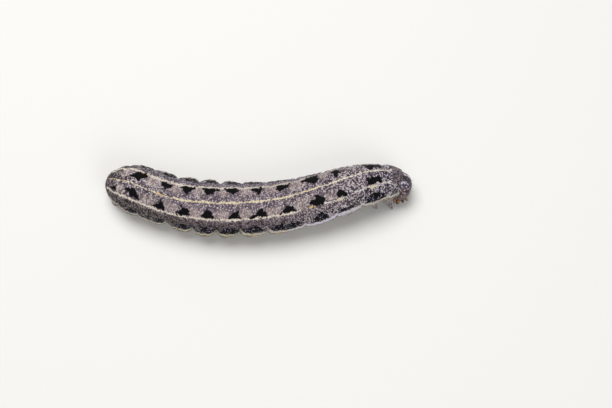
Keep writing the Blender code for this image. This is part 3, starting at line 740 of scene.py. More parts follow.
def leg_lines():
    lines = {}
    for number, (share, spread, forward) in enumerate(LEG_STANCES, 1):
        place = place_in(f"thorax_{number}", share)
        lines |= limb_pair(f"leg_{number}", place, spread, forward, LEG_ROOT_ANGLE)
    return lines


PROLEGS, LEGS = proleg_lines(), leg_lines()
# How far from a limb's line the skin is drawn out with it in full, and at all, and how far down the line
PROLEG_TOP, PROLEG_SKIRT, FOOT_HEIGHT = 0.50, 1.25, 0.34
COXA_TOP, COXA_SKIRT, COXA_SHARE = 0.30, 0.85, 0.20
DRAW_REACH = 1.3


def draw_out_limbs(points):
    """Draws the skin out into the fleshy base of every proleg and leg."""
    drawn = points.copy()
    for lines, top, skirt in ((PROLEGS, PROLEG_TOP, PROLEG_SKIRT), (LEGS, COXA_TOP, COXA_SKIRT)):
        for root, foot, _ in lines.values():
            line = foot - root
            length = np.linalg.norm(line)
            line /= length
            height = length - FOOT_HEIGHT if lines is PROLEGS else length * COXA_SHARE
            away = points - root
            along = away @ line
            apart = np.linalg.norm(away - along[:, None] * line, axis=1)
            pull = fall(top, skirt, apart) * (np.abs(along) < DRAW_REACH)
            drawn += (np.maximum(height - np.maximum(along, 0.0) * 0.5, 0.0) * pull)[:, None] * line
    return drawn


def make_skin(material):
    girths = np.arange(SKIN_COLUMNS) * 360.0 / SKIN_COLUMNS - 180.0
    place, girth = np.meshgrid(place_rows(), girths, indexing="ij")
    rows = body_point(place, girth) + OFFSET
    flat = rows.reshape(-1, 3)
    _, back, right = body_frame(place)
    angle = np.radians(girth)[..., None]
    outward = (np.sin(angle) * right + np.cos(angle) * back).reshape(-1, 3)
    unrolled = (place.ravel() / WRINKLE_LENGTH, girth.ravel() / WRINKLE_ANGLE, np.zeros(place.size))
    wrinkle = smooth_noise(np.stack(unrolled, -1), 1.0, 3) * smooth_step(0.5, 2.5, place.ravel())
    lift = WRINKLE_HEIGHT * wrinkle + GRAIN_HEIGHT * smooth_noise(flat, GRAIN_SIZE, 5)
    rings = draw_out_limbs(flat + lift[:, None] * outward).reshape(rows.shape)
    middle, forward = rings[-1].mean(axis=0), body_frame(np.array(BODY_LENGTH))[0]
    collar = [middle + (rings[-1] - middle) * size + forward * ahead for ahead, size in COLLAR]
    points, faces = lofted([*rings, *collar])
    points[-2] = axis_point(0.0) + OFFSET
    thing = mesh_piece("body_skin_piece", points, faces, material)
    for name, values in skin_pattern(place, girth).items():
        front = np.tile(values[-1], len(COLLAR))
        add_attribute(thing, name, [*values.ravel(), *front, values[0].mean(), values[-1, 0]])
    return kept(thing, "body_skin", *NAMES)


# The head capsule's sizes and place, as the solids have them
HEAD_HALF_WIDTH, HEAD_HALF_HEIGHT, HEAD_HALF_DEPTH = 1.60, 1.72, 1.26
HEAD_AHEAD, HEAD_BELOW, HEAD_ASIDE = 0.42, 0.02, 0.14
HEAD_HEADING, HEAD_PITCH, HEAD_ROLL = -12.0, -20.0, 60.0
CROWN_GROOVE, CROWN_GROOVE_WIDTH = 0.08, 10.0
FACE_PANEL, FACE_PANEL_WIDTH = 0.07, 20.0
MOUTH_FLAT = 0.10
NAPE_FULLNESS = 0.11

# The head's finer forms. The dark triangle of the face: the heights of its point and foot, and half its
# angle across at the foot
FACE_TOP, FACE_FOOT, FACE_SPREAD = 50.0, -36.0, 25.0
# The pale lines that run down the face outside it, as height and angle to the side
FACE_LINES = (
    (-40.0, 31.0), (0.0, 28.0), (30.0, 24.5), (50.0, 22.0), (75.0, 23.0), (95.0, 19.0), (112.0, 14.0),
    (130.0, 10.0),
)
FACE_LINE_HALF = 0.055
SEAM_GROOVE, SEAM_GROOVE_WIDTH = 0.045, 0.05
FACE_GROOVE, FACE_GROOVE_WIDTH = 0.022, 0.035
LIP_GROOVE, LIP_GROOVE_WIDTH = 0.03, 2.5
# Stripes down each side of the head, the pale one partly a painted highlight: angle from its middle, half
# width, and the heights they lie between
HEAD_STRIPES = (("dark_stripe", 42.0, 0.24, 20.0, 150.0), ("pale_stripe", 56.0, 0.03, 48.0, 138.0))
FACE_RADIUS = 1.45
HEAD_DETAIL = 7
HEAD_GRAIN, HEAD_GRAIN_HEIGHT = 0.16, 0.010


def head_placement():
    """The head's own frame: +X out of the face, +Y to its left, +Z up through the crown."""
    forward, back, right = body_frame(np.array(BODY_LENGTH))
    centre = axis_point(BODY_LENGTH) + HEAD_AHEAD * forward - HEAD_BELOW * back + HEAD_ASIDE * right
    placed = Matrix.Translation(Vector(centre + OFFSET))
    for angle, axis in ((HEAD_HEADING, "Z"), (-HEAD_PITCH, "Y"), (-HEAD_ROLL, "X")):
        placed = placed @ Matrix.Rotation(math.radians(angle), 4, axis)
    return placed


HEAD = head_placement()
HEAD_TURN, HEAD_CENTRE = np.array(HEAD.to_3x3()), np.array(HEAD.translation)


def head_angles(directions):
    """(angle to the side, angle upward from the face) of head-frame directions, in degrees."""
    x, y, z = directions[:, 0], directions[:, 1], directions[:, 2]
    return np.degrees(np.arctan2(y, np.hypot(x, z))), np.degrees(np.arctan2(z, x))


def aside_mm(across, middle):
    """Distance on the head out past an angle to the side, and negative nearer its middle."""
    return np.radians(np.abs(across) - middle) * FACE_RADIUS


def face_line_gap(across, upward):
    """Distance out from the sides of the face's dark triangle, and negative inside it."""
    share = np.clip((FACE_TOP - upward) / (FACE_TOP - FACE_FOOT), 0.0, 1.0)
    return aside_mm(across, FACE_SPREAD * share**0.6)


def on_face(upward):
    return smooth_step(FACE_FOOT - 6, FACE_FOOT + 2, upward) * fall(FACE_TOP - 2, FACE_TOP + 6, upward)


def head_surface(directions):
    """Points of the head capsule in the head's own frame, out along unit directions."""
    across, upward = head_angles(directions)
    size = 1.0 - CROWN_GROOVE * bell(across, CROWN_GROOVE_WIDTH) * smooth_step(28.0, 75.0, upward)
    size -= FACE_PANEL * bell(across, FACE_PANEL_WIDTH) * bell(upward - 8.0, 30.0)
    size -= MOUTH_FLAT * smooth_step(0.62, 0.95, -directions[:, 2])
    behind = np.maximum(-directions[:, 0], 0.0)
    size += NAPE_FULLNESS * 2 * behind * np.sqrt(1 - behind**2)
    points = directions * (HEAD_HALF_DEPTH, HEAD_HALF_WIDTH, HEAD_HALF_HEIGHT) * size[:, None]
    groove = SEAM_GROOVE * bell(aside_mm(across, 0.0), SEAM_GROOVE_WIDTH)
    groove = groove * smooth_step(FACE_TOP - 8, FACE_TOP + 4, upward)
    groove += FACE_GROOVE * bell(face_line_gap(across, upward), FACE_GROOVE_WIDTH) * on_face(upward)
    groove += LIP_GROOVE * bell(upward - FACE_FOOT + 2, LIP_GROOVE_WIDTH) * (np.abs(across) < 24)
    return points - directions * groove[:, None]


def from_head(points):
    """Head-frame points set in their place on the larva."""
    return np.asarray(points) @ HEAD_TURN.T + HEAD_CENTRE


def head_spot(across, upward, sink):
    """(point, outward direction, upward direction) on the head capsule, sunk a little into it."""
    side, climb = math.radians(across), math.radians(upward)
    direction = (math.cos(side) * math.cos(climb), math.sin(side), math.cos(side) * math.sin(climb))
    point = head_surface(np.array([direction]))[0]
    normal = point / np.array([HEAD_HALF_DEPTH, HEAD_HALF_WIDTH, HEAD_HALF_HEIGHT]) ** 2
    normal /= np.linalg.norm(normal)
    crown = np.array(UP) - normal * normal[2]
    return from_head(point - normal * sink), HEAD_TURN @ normal, HEAD_TURN @ crown


def head_pattern(directions):
    """The values that the head's finish reads, by name."""
    across, upward = head_angles(directions)
    gap = face_line_gap(across, upward)
    heights, asides = zip(*FACE_LINES)
    on_line = smooth_step(heights[0], heights[0] + 6, upward) * fall(heights[-1] - 12, heights[-1], upward)
    line = FACE_LINE_HALF - np.abs(aside_mm(across, np.interp(upward, heights, asides)))
    beside = np.abs(gap) + (1 - on_face(upward))
    pattern = {
        "face_line": line - 0.5 * (1 - on_line),
        "groove": np.where(upward > FACE_TOP - 4, aside_mm(across, 0.0), beside),
        "panel": fall(-0.04, 0.02, gap) * on_face(upward),
        "lower": fall(-0.55, 0.25, directions[:, 2] - 0.25 * directions[:, 0]),
        "mouth": smooth_step(0.84, 0.93, -directions[:, 2]),
    }
    for name, middle, half, low, high in HEAD_STRIPES:
        past = fall(low, low + 14, upward) + smooth_step(high - 14, high, upward)
        pattern[name] = half - np.abs(aside_mm(across, middle)) - 0.5 * past
    return pattern


def make_head(material):
    ball = bmesh.new()
    bmesh.ops.create_icosphere(ball, subdivisions=HEAD_DETAIL, radius=1.0)
    directions = np.array([vert.co.normalized() for vert in ball.verts])
    faces = [[vert.index for vert in face.verts] for face in ball.faces]
    ball.free()
    lumps = HEAD_GRAIN_HEIGHT * smooth_noise(directions * 1.4, HEAD_GRAIN, 11)
    points = head_surface(directions) + directions * lumps[:, None]
    thing = mesh_piece("head_capsule_piece", from_head(points), faces, material)
    for name, values in head_pattern(directions).items():
        add_attribute(thing, name, values)
    return kept(thing, "head_capsule", "head")


HEAD_BROWN, HEAD_PLUM, HEAD_ORANGE = colour(94, 70, 66), colour(84, 74, 92), colour(142, 92, 54)
HEAD_NET, HEAD_DARK = colour(36, 26, 30), colour(28, 20, 26)
HEAD_PALE, HEAD_FLECK, PANEL_BROWN = colour(214, 206, 220), colour(192, 182, 200), colour(88, 60, 48)


def head_finish():
    made = Finish("head_shell")
    cloud, fine, patchy = made.noise(0.45, 3.0), made.noise(0.12), made.noise(0.30, 3.0, 0.6)
    wavy = made.warped(0.22, 0.07)
    tone, apart = made.granules(0.17, wavy)
    edge = made.cells(0.30, wavy, "DISTANCE_TO_EDGE").outputs["Distance"]
    net = made.times(made.ramp(edge, 0.13, 0.03), made.ramp(cloud, 0.64, 0.42))
    rough, low = made.ramp(patchy, 0.36, 0.64), made.attribute("lower")
    made.base = made.between(cloud, 0.35, 0.65, HEAD_BROWN, HEAD_PLUM)
    # The lower front of the head is darker: partly its own dark brown, partly painted shade on the side
    # facing down
    made.lay(low, HEAD_DARK, 0.65)
    made.lay(low, HEAD_ORANGE, made.ramp(patchy, 0.48, 0.60))
    dark = made.times(made.ramp(tone, 0.45, 0.36), made.ramp(apart, 0.80, 0.50))
    made.lay(made.most(dark, net), HEAD_NET, 0.80)
    fleck = made.times(made.ramp(tone, 0.57, 0.66), made.ramp(apart, 0.66, 0.36))
    made.lay(fleck, HEAD_FLECK, made.scaled(low, -0.62, 0.92))
    made.lay(made.ragged("dark_stripe", 0.45, rough, 0.10), HEAD_DARK, 0.75)
    # The pale stripe down the temple: partly a pale marking, partly a painted highlight
    made.lay(made.ragged("pale_stripe", 0.30, rough, 0.06), HEAD_FLECK, made.ramp(apart, 0.85, 0.35))
    made.lay(made.attribute("panel"), made.between(fine, 0.38, 0.62, PANEL_BROWN, HEAD_NET))
    # The pale lines beside the face, made brighter than their own tone: partly a painted highlight
    made.lay(made.ragged("face_line", 0.12, rough, 0.03), HEAD_PALE, 0.88)
    made.lay(made.ramp(made.attribute("groove"), 0.045, 0.015), HEAD_DARK)
    made.lay(made.attribute("mouth"), HEAD_DARK)
    bumps = ((fine, 0.010), (made.ramp(apart, 0.9, 0.1), 0.010))
    return made.finish(0.36, bumps, Specular_IOR_Level=0.32, Coat_Weight=0.10, Coat_Roughness=0.22)


def circle(sides):
    """(cosines, sines) evenly round a circle."""
    turns = np.arange(sides) * 2 * np.pi / sides
    return np.cos(turns), np.sin(turns)


def along_profile(profile, count):
    """(shares, radii) read evenly from pairs of share and radius, eased between them."""
    shares = np.linspace(0.0, 1.0, count)
    at, size = np.array(profile).T
    number = np.clip(np.searchsorted(at, shares, side="right") - 1, 0, len(at) - 2)
    eased = smooth_step(at[number], at[number + 1], shares)
    return shares, size[number] + (size[number + 1] - size[number]) * eased


def tube_piece(name, path, radii, material, sides, across, flat=1.0):
    """A round-ended tube, narrowed by flat along the direction across. Its attribute along is 0 to 1."""
    heads = np.gradient(path, axis=0)
    heads /= np.linalg.norm(heads, axis=1, keepdims=True)
    cosines, sines = circle(sides)
    rings = []
    for point, head, radius in zip(path, heads, radii):
        first = across - head * (head @ across)
        first /= np.linalg.norm(first)
        ring = cosines[:, None] * first * flat + sines[:, None] * np.cross(head, first)
        rings.append(point + ring * radius)
    thing = mesh_piece(name, *lofted(rings), material)
    add_attribute(thing, "along", [*np.repeat(np.linspace(0.0, 1.0, len(path)), sides), 0.0, 1.0])
    return thing


# Profiles of share and radius, then the feelers and mouth parts in the head's frame: where they leave its
# underside (ahead, aside), the way they point (forwards, sideways, down), their reach, profile and flatness
FEELER = (
    (0.0, 0.24), (0.26, 0.21), (0.34, 0.13), (0.40, 0.15), (0.80, 0.13), (0.86, 0.07), (0.90, 0.07),
    (1.0, 0.02),
)
PALP = (
    (0.0, 0.25), (0.34, 0.24), (0.40, 0.17), (0.44, 0.18), (0.66, 0.16), (0.72, 0.10), (0.90, 0.08),
    (1.0, 0.02),
)
SPINNERET = ((0.0, 0.26), (0.45, 0.24), (0.56, 0.12), (0.92, 0.06), (1.0, 0.02))
JAW = ((0.0, 0.26), (0.35, 0.29), (0.75, 0.26), (0.95, 0.17), (1.0, 0.06))
MOUTH_PARTS = (
    ("labium", (-0.52, 0.0), (0.1, 0.0, 1.0), 0.66, SPINNERET, 0.85),
    ("mandible", (0.18, 0.50), (0.1, -0.12, 1.0), 0.52, JAW, 0.85),
    ("maxilla", (-0.36, 0.68), (0.25, -0.15, 1.0), 0.68, PALP, 1.0),
    ("antenna", (0.74, 0.84), (0.85, 0.3, 0.3), 0.42, FEELER, 1.0),
)
MOUTH_ROOT = 0.30
# The upper lip: rows and columns of points, half width, length, how far ahead it hangs, and its thickness
LIP_ROWS, LIP_COLUMNS = 14, 30
LIP_HALF_WIDTH, LIP_LENGTH, LIP_AHEAD, LIP_THICKNESS = 0.48, 0.58, 0.80, 0.16


def head_underside(ahead, aside):
    """Height of the head's lower surface in its own frame, ahead and aside of its middle."""
    spread = (ahead / HEAD_HALF_DEPTH) ** 2 + (aside / HEAD_HALF_WIDTH) ** 2
    return -HEAD_HALF_HEIGHT * (1 - MOUTH_FLAT) * math.sqrt(1.0 - spread)


def make_mouth_part(name, side, seat, aim, length, profile, flat, material):
    """One jointed, tapered piece out of the underside of the head."""
    outward = np.array([aim[0], side * aim[1], -aim[2]])
    outward /= np.linalg.norm(outward)
    start = np.array([seat[0], side * seat[1], head_underside(*seat)])
    shares, radii = along_profile(profile, 36)
    reach = -MOUTH_ROOT + shares * (length + MOUTH_ROOT)
    path = from_head(start + reach[:, None] * outward)
    thing = tube_piece(f"{name}_piece", path, radii, material, 20, HEAD_TURN @ (1.0, 0.0, 0.0), flat)
    return kept(thing, "mouth_parts", name)


def make_labrum(material):
    """The notched upper lip: a thin curved plate hung from the lower edge of the face."""
    heights, asides = np.linspace(0.0, 1.0, LIP_ROWS), np.linspace(-1.0, 1.0, LIP_COLUMNS)
    down, u = np.meshgrid(heights, asides, indexing="ij")
    hang = down * (LIP_LENGTH - 0.14 * bell(u, 0.22) * down - 0.12 * np.abs(u) ** 4 * down)
    width = LIP_HALF_WIDTH * (0.92 + 0.10 * np.sin(np.pi * down))
    crown = 0.20 * (1 - u * u) * (0.5 + 0.5 * np.sin(np.pi * np.minimum(down * 1.1, 1.0)))
    x = LIP_AHEAD + 0.02 + crown * 0.6 + 0.08 * down
    z = head_underside(LIP_AHEAD, 0.0) + 0.10 - hang
    outside = np.stack([x, u * width, z], -1).reshape(-1, 3)
    inside = np.stack([x - LIP_THICKNESS, u * width * 0.96, z + 0.01], -1).reshape(-1, 3)
    count = LIP_ROWS * LIP_COLUMNS
    at = np.arange(count).reshape(LIP_ROWS, LIP_COLUMNS)
    faces = []
    for quad in zip(at[:-1, :-1].flat, at[1:, :-1].flat, at[1:, 1:].flat, at[:-1, 1:].flat):
        faces += [quad, [count + k for k in reversed(quad)]]
    rim = [*at[0], *at[1:, -1], *at[-1, -2::-1], *at[-2:0:-1, 0]]
    faces += [(a, b, count + b, count + a) for a, b in zip(rim, [*rim[1:], rim[0]])]
    thing = mesh_piece("labrum_piece", from_head([*outside, *inside]), faces, material)
    turn_faces_out(thing)
    add_attribute(thing, "along", np.tile(np.repeat(np.linspace(0.2, 0.75, LIP_ROWS), LIP_COLUMNS), 2))
    return kept(thing, "mouth_parts", "labrum")


def turn_faces_out(thing):
    mesh = bmesh.new()
    mesh.from_mesh(thing.data)
    bmesh.ops.recalc_face_normals(mesh, faces=mesh.faces)
    mesh.to_mesh(thing.data)
    mesh.free()


def make_mouth_parts(material):
    make_labrum(material)
    for name, seat, *form in MOUTH_PARTS:
        pair = [(f"{name}_{word}", -side) for word, side in SIDES] if seat[1] else [(name, 1)]
        for node, side in pair:
            make_mouth_part(node, side, seat, *form, material)


HORN_AMBER, HORN_BROWN, HORN_DARK = colour(176, 126, 82), colour(92, 58, 38), colour(32, 21, 18)
HORN_GLOSS = {"Specular_IOR_Level": 0.5, "Coat_Weight": 0.15, "Coat_Roughness": 0.25}


def mouth_finish():
    made = Finish("horny_mouth_parts")
    cloud, fine, along = made.noise(0.30), made.noise(0.10), made.attribute("along")
    made.base = made.between(cloud, 0.36, 0.56, HORN_AMBER, HORN_BROWN)
    made.lay(made.ramp(along, 0.45, 0.80), made.mix(0.6, made.base, HORN_BROWN))
    made.lay(made.ramp(fine, 0.52, 0.66), HORN_DARK, 0.4)
    made.lay(made.ramp(along, 0.74, 0.94), HORN_DARK)
    return made.finish(0.32, ((fine, 0.008),), **HORN_GLOSS)


LEG_PROFILE = (
    (0.0, 0.05), (0.05, 0.28), (0.14, 0.37), (0.28, 0.32), (0.325, 0.25), (0.37, 0.28), (0.47, 0.27),
    (0.54, 0.20), (0.57, 0.16), (0.61, 0.19), (0.71, 0.175), (0.765, 0.13), (0.79, 0.105), (0.815, 0.125),
    (0.89, 0.10), (0.92, 0.07), (0.945, 0.06), (0.975, 0.04), (1.0, 0.01),
)
LEG_JOINTS = (0.325, 0.57, 0.79)
LEG_BOW, LEG_LEAN, CLAW_TURN, LEG_SUNK = 0.28, 0.26, 0.14, 0.14
CLAW_HOOK = 0.07


def make_leg(name, root, foot, outward, material):
    """A jointed leg: bowed outwards from its base, and turned in to the point of its claw."""
    shares, radii = along_profile(LEG_PROFILE, 90)
    ahead = np.cross(UP, outward) * (1 if outward[1] < 0 else -1)
    start = root - LEG_SUNK * (foot - root) - LEG_SUNK * outward
    middle = start + 0.55 * (foot - start) + LEG_BOW * outward
    tip = foot - CLAW_TURN * outward + LEG_LEAN * ahead + (0.0, 0.0, 0.02)
    t = shares[:, None]
    path = start * (1 - t) ** 2 + 2 * middle * t * (1 - t) + tip * t**2
    path = path - CLAW_HOOK * smooth_step(0.90, 1.0, t) * outward
    thing = tube_piece(f"{name}_piece", path, radii, material, 28, ahead)
    lowest = min(vert.co.z for vert in thing.data.vertices)
    thing.data.transform(Matrix.Translation((0.0, 0.0, max(0.0, -lowest))))
    return kept(thing, "jointed_legs", name)


LEG_LILAC, LEG_BROWN, LEG_DARK = colour(178, 166, 184), colour(86, 66, 62), colour(36, 26, 26)


def leg_finish():
    made = Finish("leg_shell")
    along, cloud = made.attribute("along"), made.noise(0.22)
    # The legs' pale lilac is partly painted highlight on the shiny horn, mixed with their brown
    made.base = made.between(cloud, 0.38, 0.58, LEG_LILAC, LEG_BROWN)
    for joint in LEG_JOINTS:
        made.lay(made.ramp(made.off(along, joint + 0.08), 0.08, 0.03), LEG_BROWN, 0.75)
    made.lay(made.ramp(along, 0.24, 0.12), SIDE_MAUVE)
    made.lay(made.ramp(along, 0.55, 0.9), LEG_BROWN, 0.7)
    made.lay(made.ramp(along, 0.88, 0.95), LEG_DARK)
    return made.finish(0.34, ((cloud, 0.015),), **HORN_GLOSS)


SOLE_PROFILE = (
    (0.0, 0.44), (0.25, 0.57), (0.55, 0.60), (0.70, 0.57), (0.84, 0.63), (0.95, 0.58), (1.0, 0.50),
)
SOLE_ROWS, SOLE_SIDES, SOLE_LENGTH = 48, 48, 0.62
# Its pleats, and how much its inner edge is drawn in
PLEATS, PLEAT_DEPTH, SOLE_INNER = 7, 0.05, 0.18
HOOK_COUNT, HOOK_SPREAD, HOOK_RADIUS, HOOK_HEIGHT = 22, 82, 0.44, 0.10
HOOK_SIZES = (0.10, 0.13)


def make_sole(name, root, foot, outward, material):
    """A proleg's foot: a fleshy pad with a horny plate outside, standing flat on the floor."""
    axis = root - foot
    top = foot + axis * ((FOOT_HEIGHT + SOLE_LENGTH) / np.linalg.norm(axis))
    shares, radii = along_profile(SOLE_PROFILE, SOLE_ROWS)
    path = top + (foot - top) * shares[:, None]
    path[:, 2] = top[2] * (1 - shares)
    ahead = np.cross(UP, outward)
    cosines, sines = circle(SOLE_SIDES)
    turns = np.arange(SOLE_SIDES) * 2 * np.pi / SOLE_SIDES
    rings = []
    for share, middle, radius in zip(shares, path, radii):
        depth = PLEAT_DEPTH * math.sin(math.pi * min(share * 1.3, 1.0))
        inner = 1.0 - SOLE_INNER * smooth_step(0.2, 1.0, -cosines) * smooth_step(0.7, 1.0, share)
        reach = radius * (1.0 + depth * np.cos(turns * PLEATS + 5 * share)) * inner
        rings.append(middle + (cosines * reach)[:, None] * outward + (sines * reach)[:, None] * ahead)
    thing = mesh_piece(f"{name}_piece", *lofted(rings), material)
    aside = np.tile((turns + np.pi) % (2 * np.pi) - np.pi, SOLE_ROWS)
    along = np.repeat(shares, SOLE_SIDES)
    plate = 0.3 * (1.0 - np.hypot(aside / 1.05, (along - 0.52) / 0.34))
    add_attribute(thing, "horny", [*plate, -1.0, -1.0])
    add_attribute(thing, "along", [*along, 0.0, 1.0])
    return kept(thing, "prolegs", name)


SOLE_FLESH, SOLE_SHADE, SOLE_PLATE = colour(170, 158, 146), colour(120, 106, 104), colour(82, 62, 54)


def sole_finish():
    made = Finish("proleg_flesh")
    cloud, fine = made.noise(0.35, 3.0), made.noise(0.08)
    made.base = made.between(cloud, 0.38, 0.62, SOLE_FLESH, SOLE_SHADE)
    made.lay(made.ramp(made.attribute("along"), 0.35, 0.0), SIDE_MAUVE)
    plate = made.ragged("horny", 0.12, cloud, 0.03)
    made.lay(plate, SOLE_PLATE)
    return made.finish(made.scaled(plate, -0.2, 0.5), ((cloud, 0.04), (fine, 0.012)), Specular_IOR_Level=0.45)


def repeat_tree():
    """Sets one shape on every point, its Z along the point's up and its X along the point's ahead."""
    tree = bpy.data.node_groups.new("shape_on_points", "GeometryNodeTree")
    given = (("Points", "Geometry"), ("Shape", "Object"), ("Finish", "Material"), ("Scale", "Float"))
    for label, kind in given:
        tree.interface.new_socket(label, in_out="INPUT", socket_type=f"NodeSocket{kind}")
    tree.interface.new_socket("Pieces", in_out="OUTPUT", socket_type="NodeSocketGeometry")
    kinds = {
        "given": "NodeGroupInput",
        "result": "NodeGroupOutput",
        "shape": "GeometryNodeObjectInfo",
        "turn": "FunctionNodeAxesToRotation",
        "put": "GeometryNodeInstanceOnPoints",
        "real": "GeometryNodeRealizeInstances",
        "painted": "GeometryNodeSetMaterial",
        "scaled": "ShaderNodeMath",
        "up": "GeometryNodeInputNamedAttribute",
        "ahead": "GeometryNodeInputNamedAttribute",
        "size": "GeometryNodeInputNamedAttribute",
    }
    nodes = {name: tree.nodes.new(kind) for name, kind in kinds.items()}
    nodes["turn"].primary_axis, nodes["turn"].secondary_axis = "Z", "X"
    nodes["scaled"].operation = "MULTIPLY"
    for name, kind in (("up", "FLOAT_VECTOR"), ("ahead", "FLOAT_VECTOR"), ("size", "FLOAT")):
        nodes[name].data_type = kind
        nodes[name].inputs["Name"].default_value = name
    links = (
        ("given", "Points", "put", "Points"),
        ("given", "Shape", "shape", "Object"),
        ("shape", "Geometry", "put", "Instance"),
        ("up", "Attribute", "turn", "Primary Axis"),
        ("ahead", "Attribute", "turn", "Secondary Axis"),
        ("turn", "Rotation", "put", "Rotation"),
        ("size", "Attribute", "scaled", 0),
        ("given", "Scale", "scaled", 1),
        ("scaled", 0, "put", "Scale"),
        ("put", "Instances", "real", "Geometry"),
        ("real", "Geometry", "painted", "Geometry"),
        ("given", "Finish", "painted", "Material"),
        ("painted", "Geometry", "result", "Pieces"),
    )
    for source, output, target, socket in links:
        tree.links.new(nodes[source].outputs[output], nodes[target].inputs[socket])
    return tree


def repeated(name, tree, shape, spots, material, slot):
    """One mesh of a small shape set at every spot, given as (point, up, ahead, size)."""
    points, ups, aheads, sizes = zip(*spots)
    thing = mesh_piece(name, points, [], None)
    add_attribute(thing, "up", ups, "FLOAT_VECTOR")
    add_attribute(thing, "ahead", aheads, "FLOAT_VECTOR")
    add_attribute(thing, "size", sizes)
    modifier = thing.modifiers.new("pieces", "NODES")
    modifier.node_group = tree
    sockets = {item.name: item.identifier for item in tree.interface.items_tree if item.in_out == "INPUT"}
    for label, value in (("Shape", shape), ("Finish", material), ("Scale", 1.0)):
        modifier[sockets[label]] = value
    bpy.context.view_layer.update()
    graph = bpy.context.evaluated_depsgraph_get()
    made = bpy.data.meshes.new_from_object(thing.evaluated_get(graph))
    thing.modifiers.clear()
    thing.data = made
    return kept(set_material(thing, material), slot)


def small_tube(name, path, radii, sides):
    """A small tube to be set on points, thick end at its origin, from its path's x and z."""
    x, z = path
    return tube_piece(name, np.stack([x, 0 * x, z], -1), radii, None, sides, np.array([0.0, 1.0, 0.0]))


def hair_shape():
    shares = np.linspace(0.0, 1.0, 7)
    return small_tube("hair_shape", (0.34 * shares**2, shares), 0.014 * (1 - 0.88 * shares), 5)


def dome_shape(name, height, sides=12):
    """A low round button, one millimetre in radius."""
    angles = np.linspace(-0.35, 0.5 * np.pi - 0.08, 7)
    return small_tube(name, (0 * angles, height * np.sin(angles)), np.cos(angles), sides)


def hook_shape():
    shares = np.linspace(0.0, 1.0, 9)
    turn = shares * 3.4
    path = (0.42 * (1 - np.cos(turn)), 0.42 * np.sin(turn) + 0.5 * (1 - shares) ** 2)
    return small_tube("hook_shape", path, 0.13 * (1 - 0.8 * shares), 6)


# The rings of a breathing hole: radius, height, depth of the lid's slit, and 1 on the rim
SPIRACLE_RINGS = (
    (1.15, -0.25, 0.0, 1.0), (1.10, 0.05, 0.0, 1.0), (0.98, 0.24, 0.0, 1.0), (0.84, 0.26, 0.0, 1.0),
    (0.72, 0.12, 0.0, 0.8), (0.66, -0.02, 0.0, 0.3), (0.45, 0.0, 0.10, 0.0), (0.2, 0.0, 0.10, 0.0),
)
SPIRACLE_SIDES, SPIRACLE_OVAL, SPIRACLE_SIZE = 24, 0.62, 0.165


def spiracle_shape():
    """A breathing hole: an oval rim round a sunken lid with a slit."""
    cosines, sines = circle(SPIRACLE_SIDES)
    rings = []
    for radius, height, slit, _ in SPIRACLE_RINGS:
        level = height - slit * bell(cosines * radius, 0.12)
        rings.append(np.stack([cosines * radius * SPIRACLE_OVAL, sines * radius, level], -1))
    thing = mesh_piece("spiracle_shape", *lofted(rings), None)
    rim = np.repeat([ring[3] for ring in SPIRACLE_RINGS], SPIRACLE_SIDES)
    add_attribute(thing, "rim", [*rim, 1.0, 0.3])
    return thing


# Hairs of one segment side: share along the segment, girth angle and length
THORAX_HAIRS = (
    (0.45, 14, 0.26), (0.5, 32, 0.32), (0.5, 56, 0.38), (0.42, 68, 0.42), (0.55, 90, 0.5), (0.45, 108, 0.45),
)
BODY_HAIRS = (
    (0.28, 17, 0.26), (0.74, 31, 0.32), (0.47, 70, 0.42), (0.66, 84, 0.36), (0.34, 99, 0.48),
    (0.52, 114, 0.45), (0.44, 127, 0.4), (0.58, 131, 0.4), (0.5, 165, 0.3),
)
TAIL_HAIRS = (
    (0.5, 12, 0.35), (0.35, 30, 0.45), (0.55, 44, 0.4), (0.25, 58, 0.5), (0.55, 66, 0.45), (0.5, 86, 0.5),
    (0.3, 104, 0.45), (0.6, 122, 0.4),
)
# Hairs of one side of the head: angle to the side, height and length
HEAD_HAIRS = (
    (16, 72, 0.5), (14, 48, 0.45), (30, 88, 0.5), (38, 62, 0.6), (34, 34, 0.5), (48, 40, 0.5), (46, 8, 0.55),
    (30, 4, 0.45), (12, 8, 0.35), (14, -22, 0.35), (60, -4, 0.5), (62, -36, 0.5), (78, 20, 0.45),
    (56, 70, 0.45),
)
SOCKET_SIZE = 0.07
# The small eyes of one side: angle to the side, height and size
SMALL_EYES = (
    (62.0, 14.0, 0.105), (70.0, 4.0, 0.115), (72.0, -8.0, 0.11), (66.0, -19.0, 0.105), (54.0, -26.0, 0.095),
    (54.0, -12.0, 0.09),
)
EYE_SUNK = 0.035
# The breathing holes of one side: segment, share along it and girth angle
SPIRACLES = (
    ("thorax_1", 0.55, 78.0), ("abdomen_1", 0.45, 84.0), ("abdomen_2", 0.45, 82.0),
    ("abdomen_3", 0.45, 80.0), ("abdomen_4", 0.45, 80.0), ("abdomen_5", 0.45, 80.0),
    ("abdomen_6", 0.45, 80.0), ("abdomen_7", 0.45, 80.0), ("abdomen_8", 0.42, 76.0),
)


def segment_hairs(name):
    if name == "abdomen_10":
        return TAIL_HAIRS
    return THORAX_HAIRS if name.startswith("thorax") else BODY_HAIRS


def hair_spots():
    """(where hairs stand on the skin, where they stand on the head), each as (point, up, ahead, size)."""
    draw = random.Random(41)
    on_skin, on_head = [], []
    skin_hairs = ((name, *hair) for name in NAMES for hair in segment_hairs(name))
    for name, share, angle, length in skin_hairs:
        for _, side in SIDES:
            place = place_in(name, share + draw.uniform(-0.03, 0.03))
            girth = side * (angle + draw.uniform(-2.0, 2.0))
            point, normal, ahead = skin_frame(place, girth)
            size = length * draw.uniform(0.85, 1.15)
            on_skin.append((point - 0.02 * normal, normal - 0.45 * ahead, -ahead, size))
    for across, upward, length in HEAD_HAIRS:
        for _, side in SIDES:
            point, normal, crown = head_spot(side * across, upward, 0.01)
            on_head.append((point, normal - 0.3 * crown, crown, length * draw.uniform(0.85, 1.15)))
    return on_skin, on_head


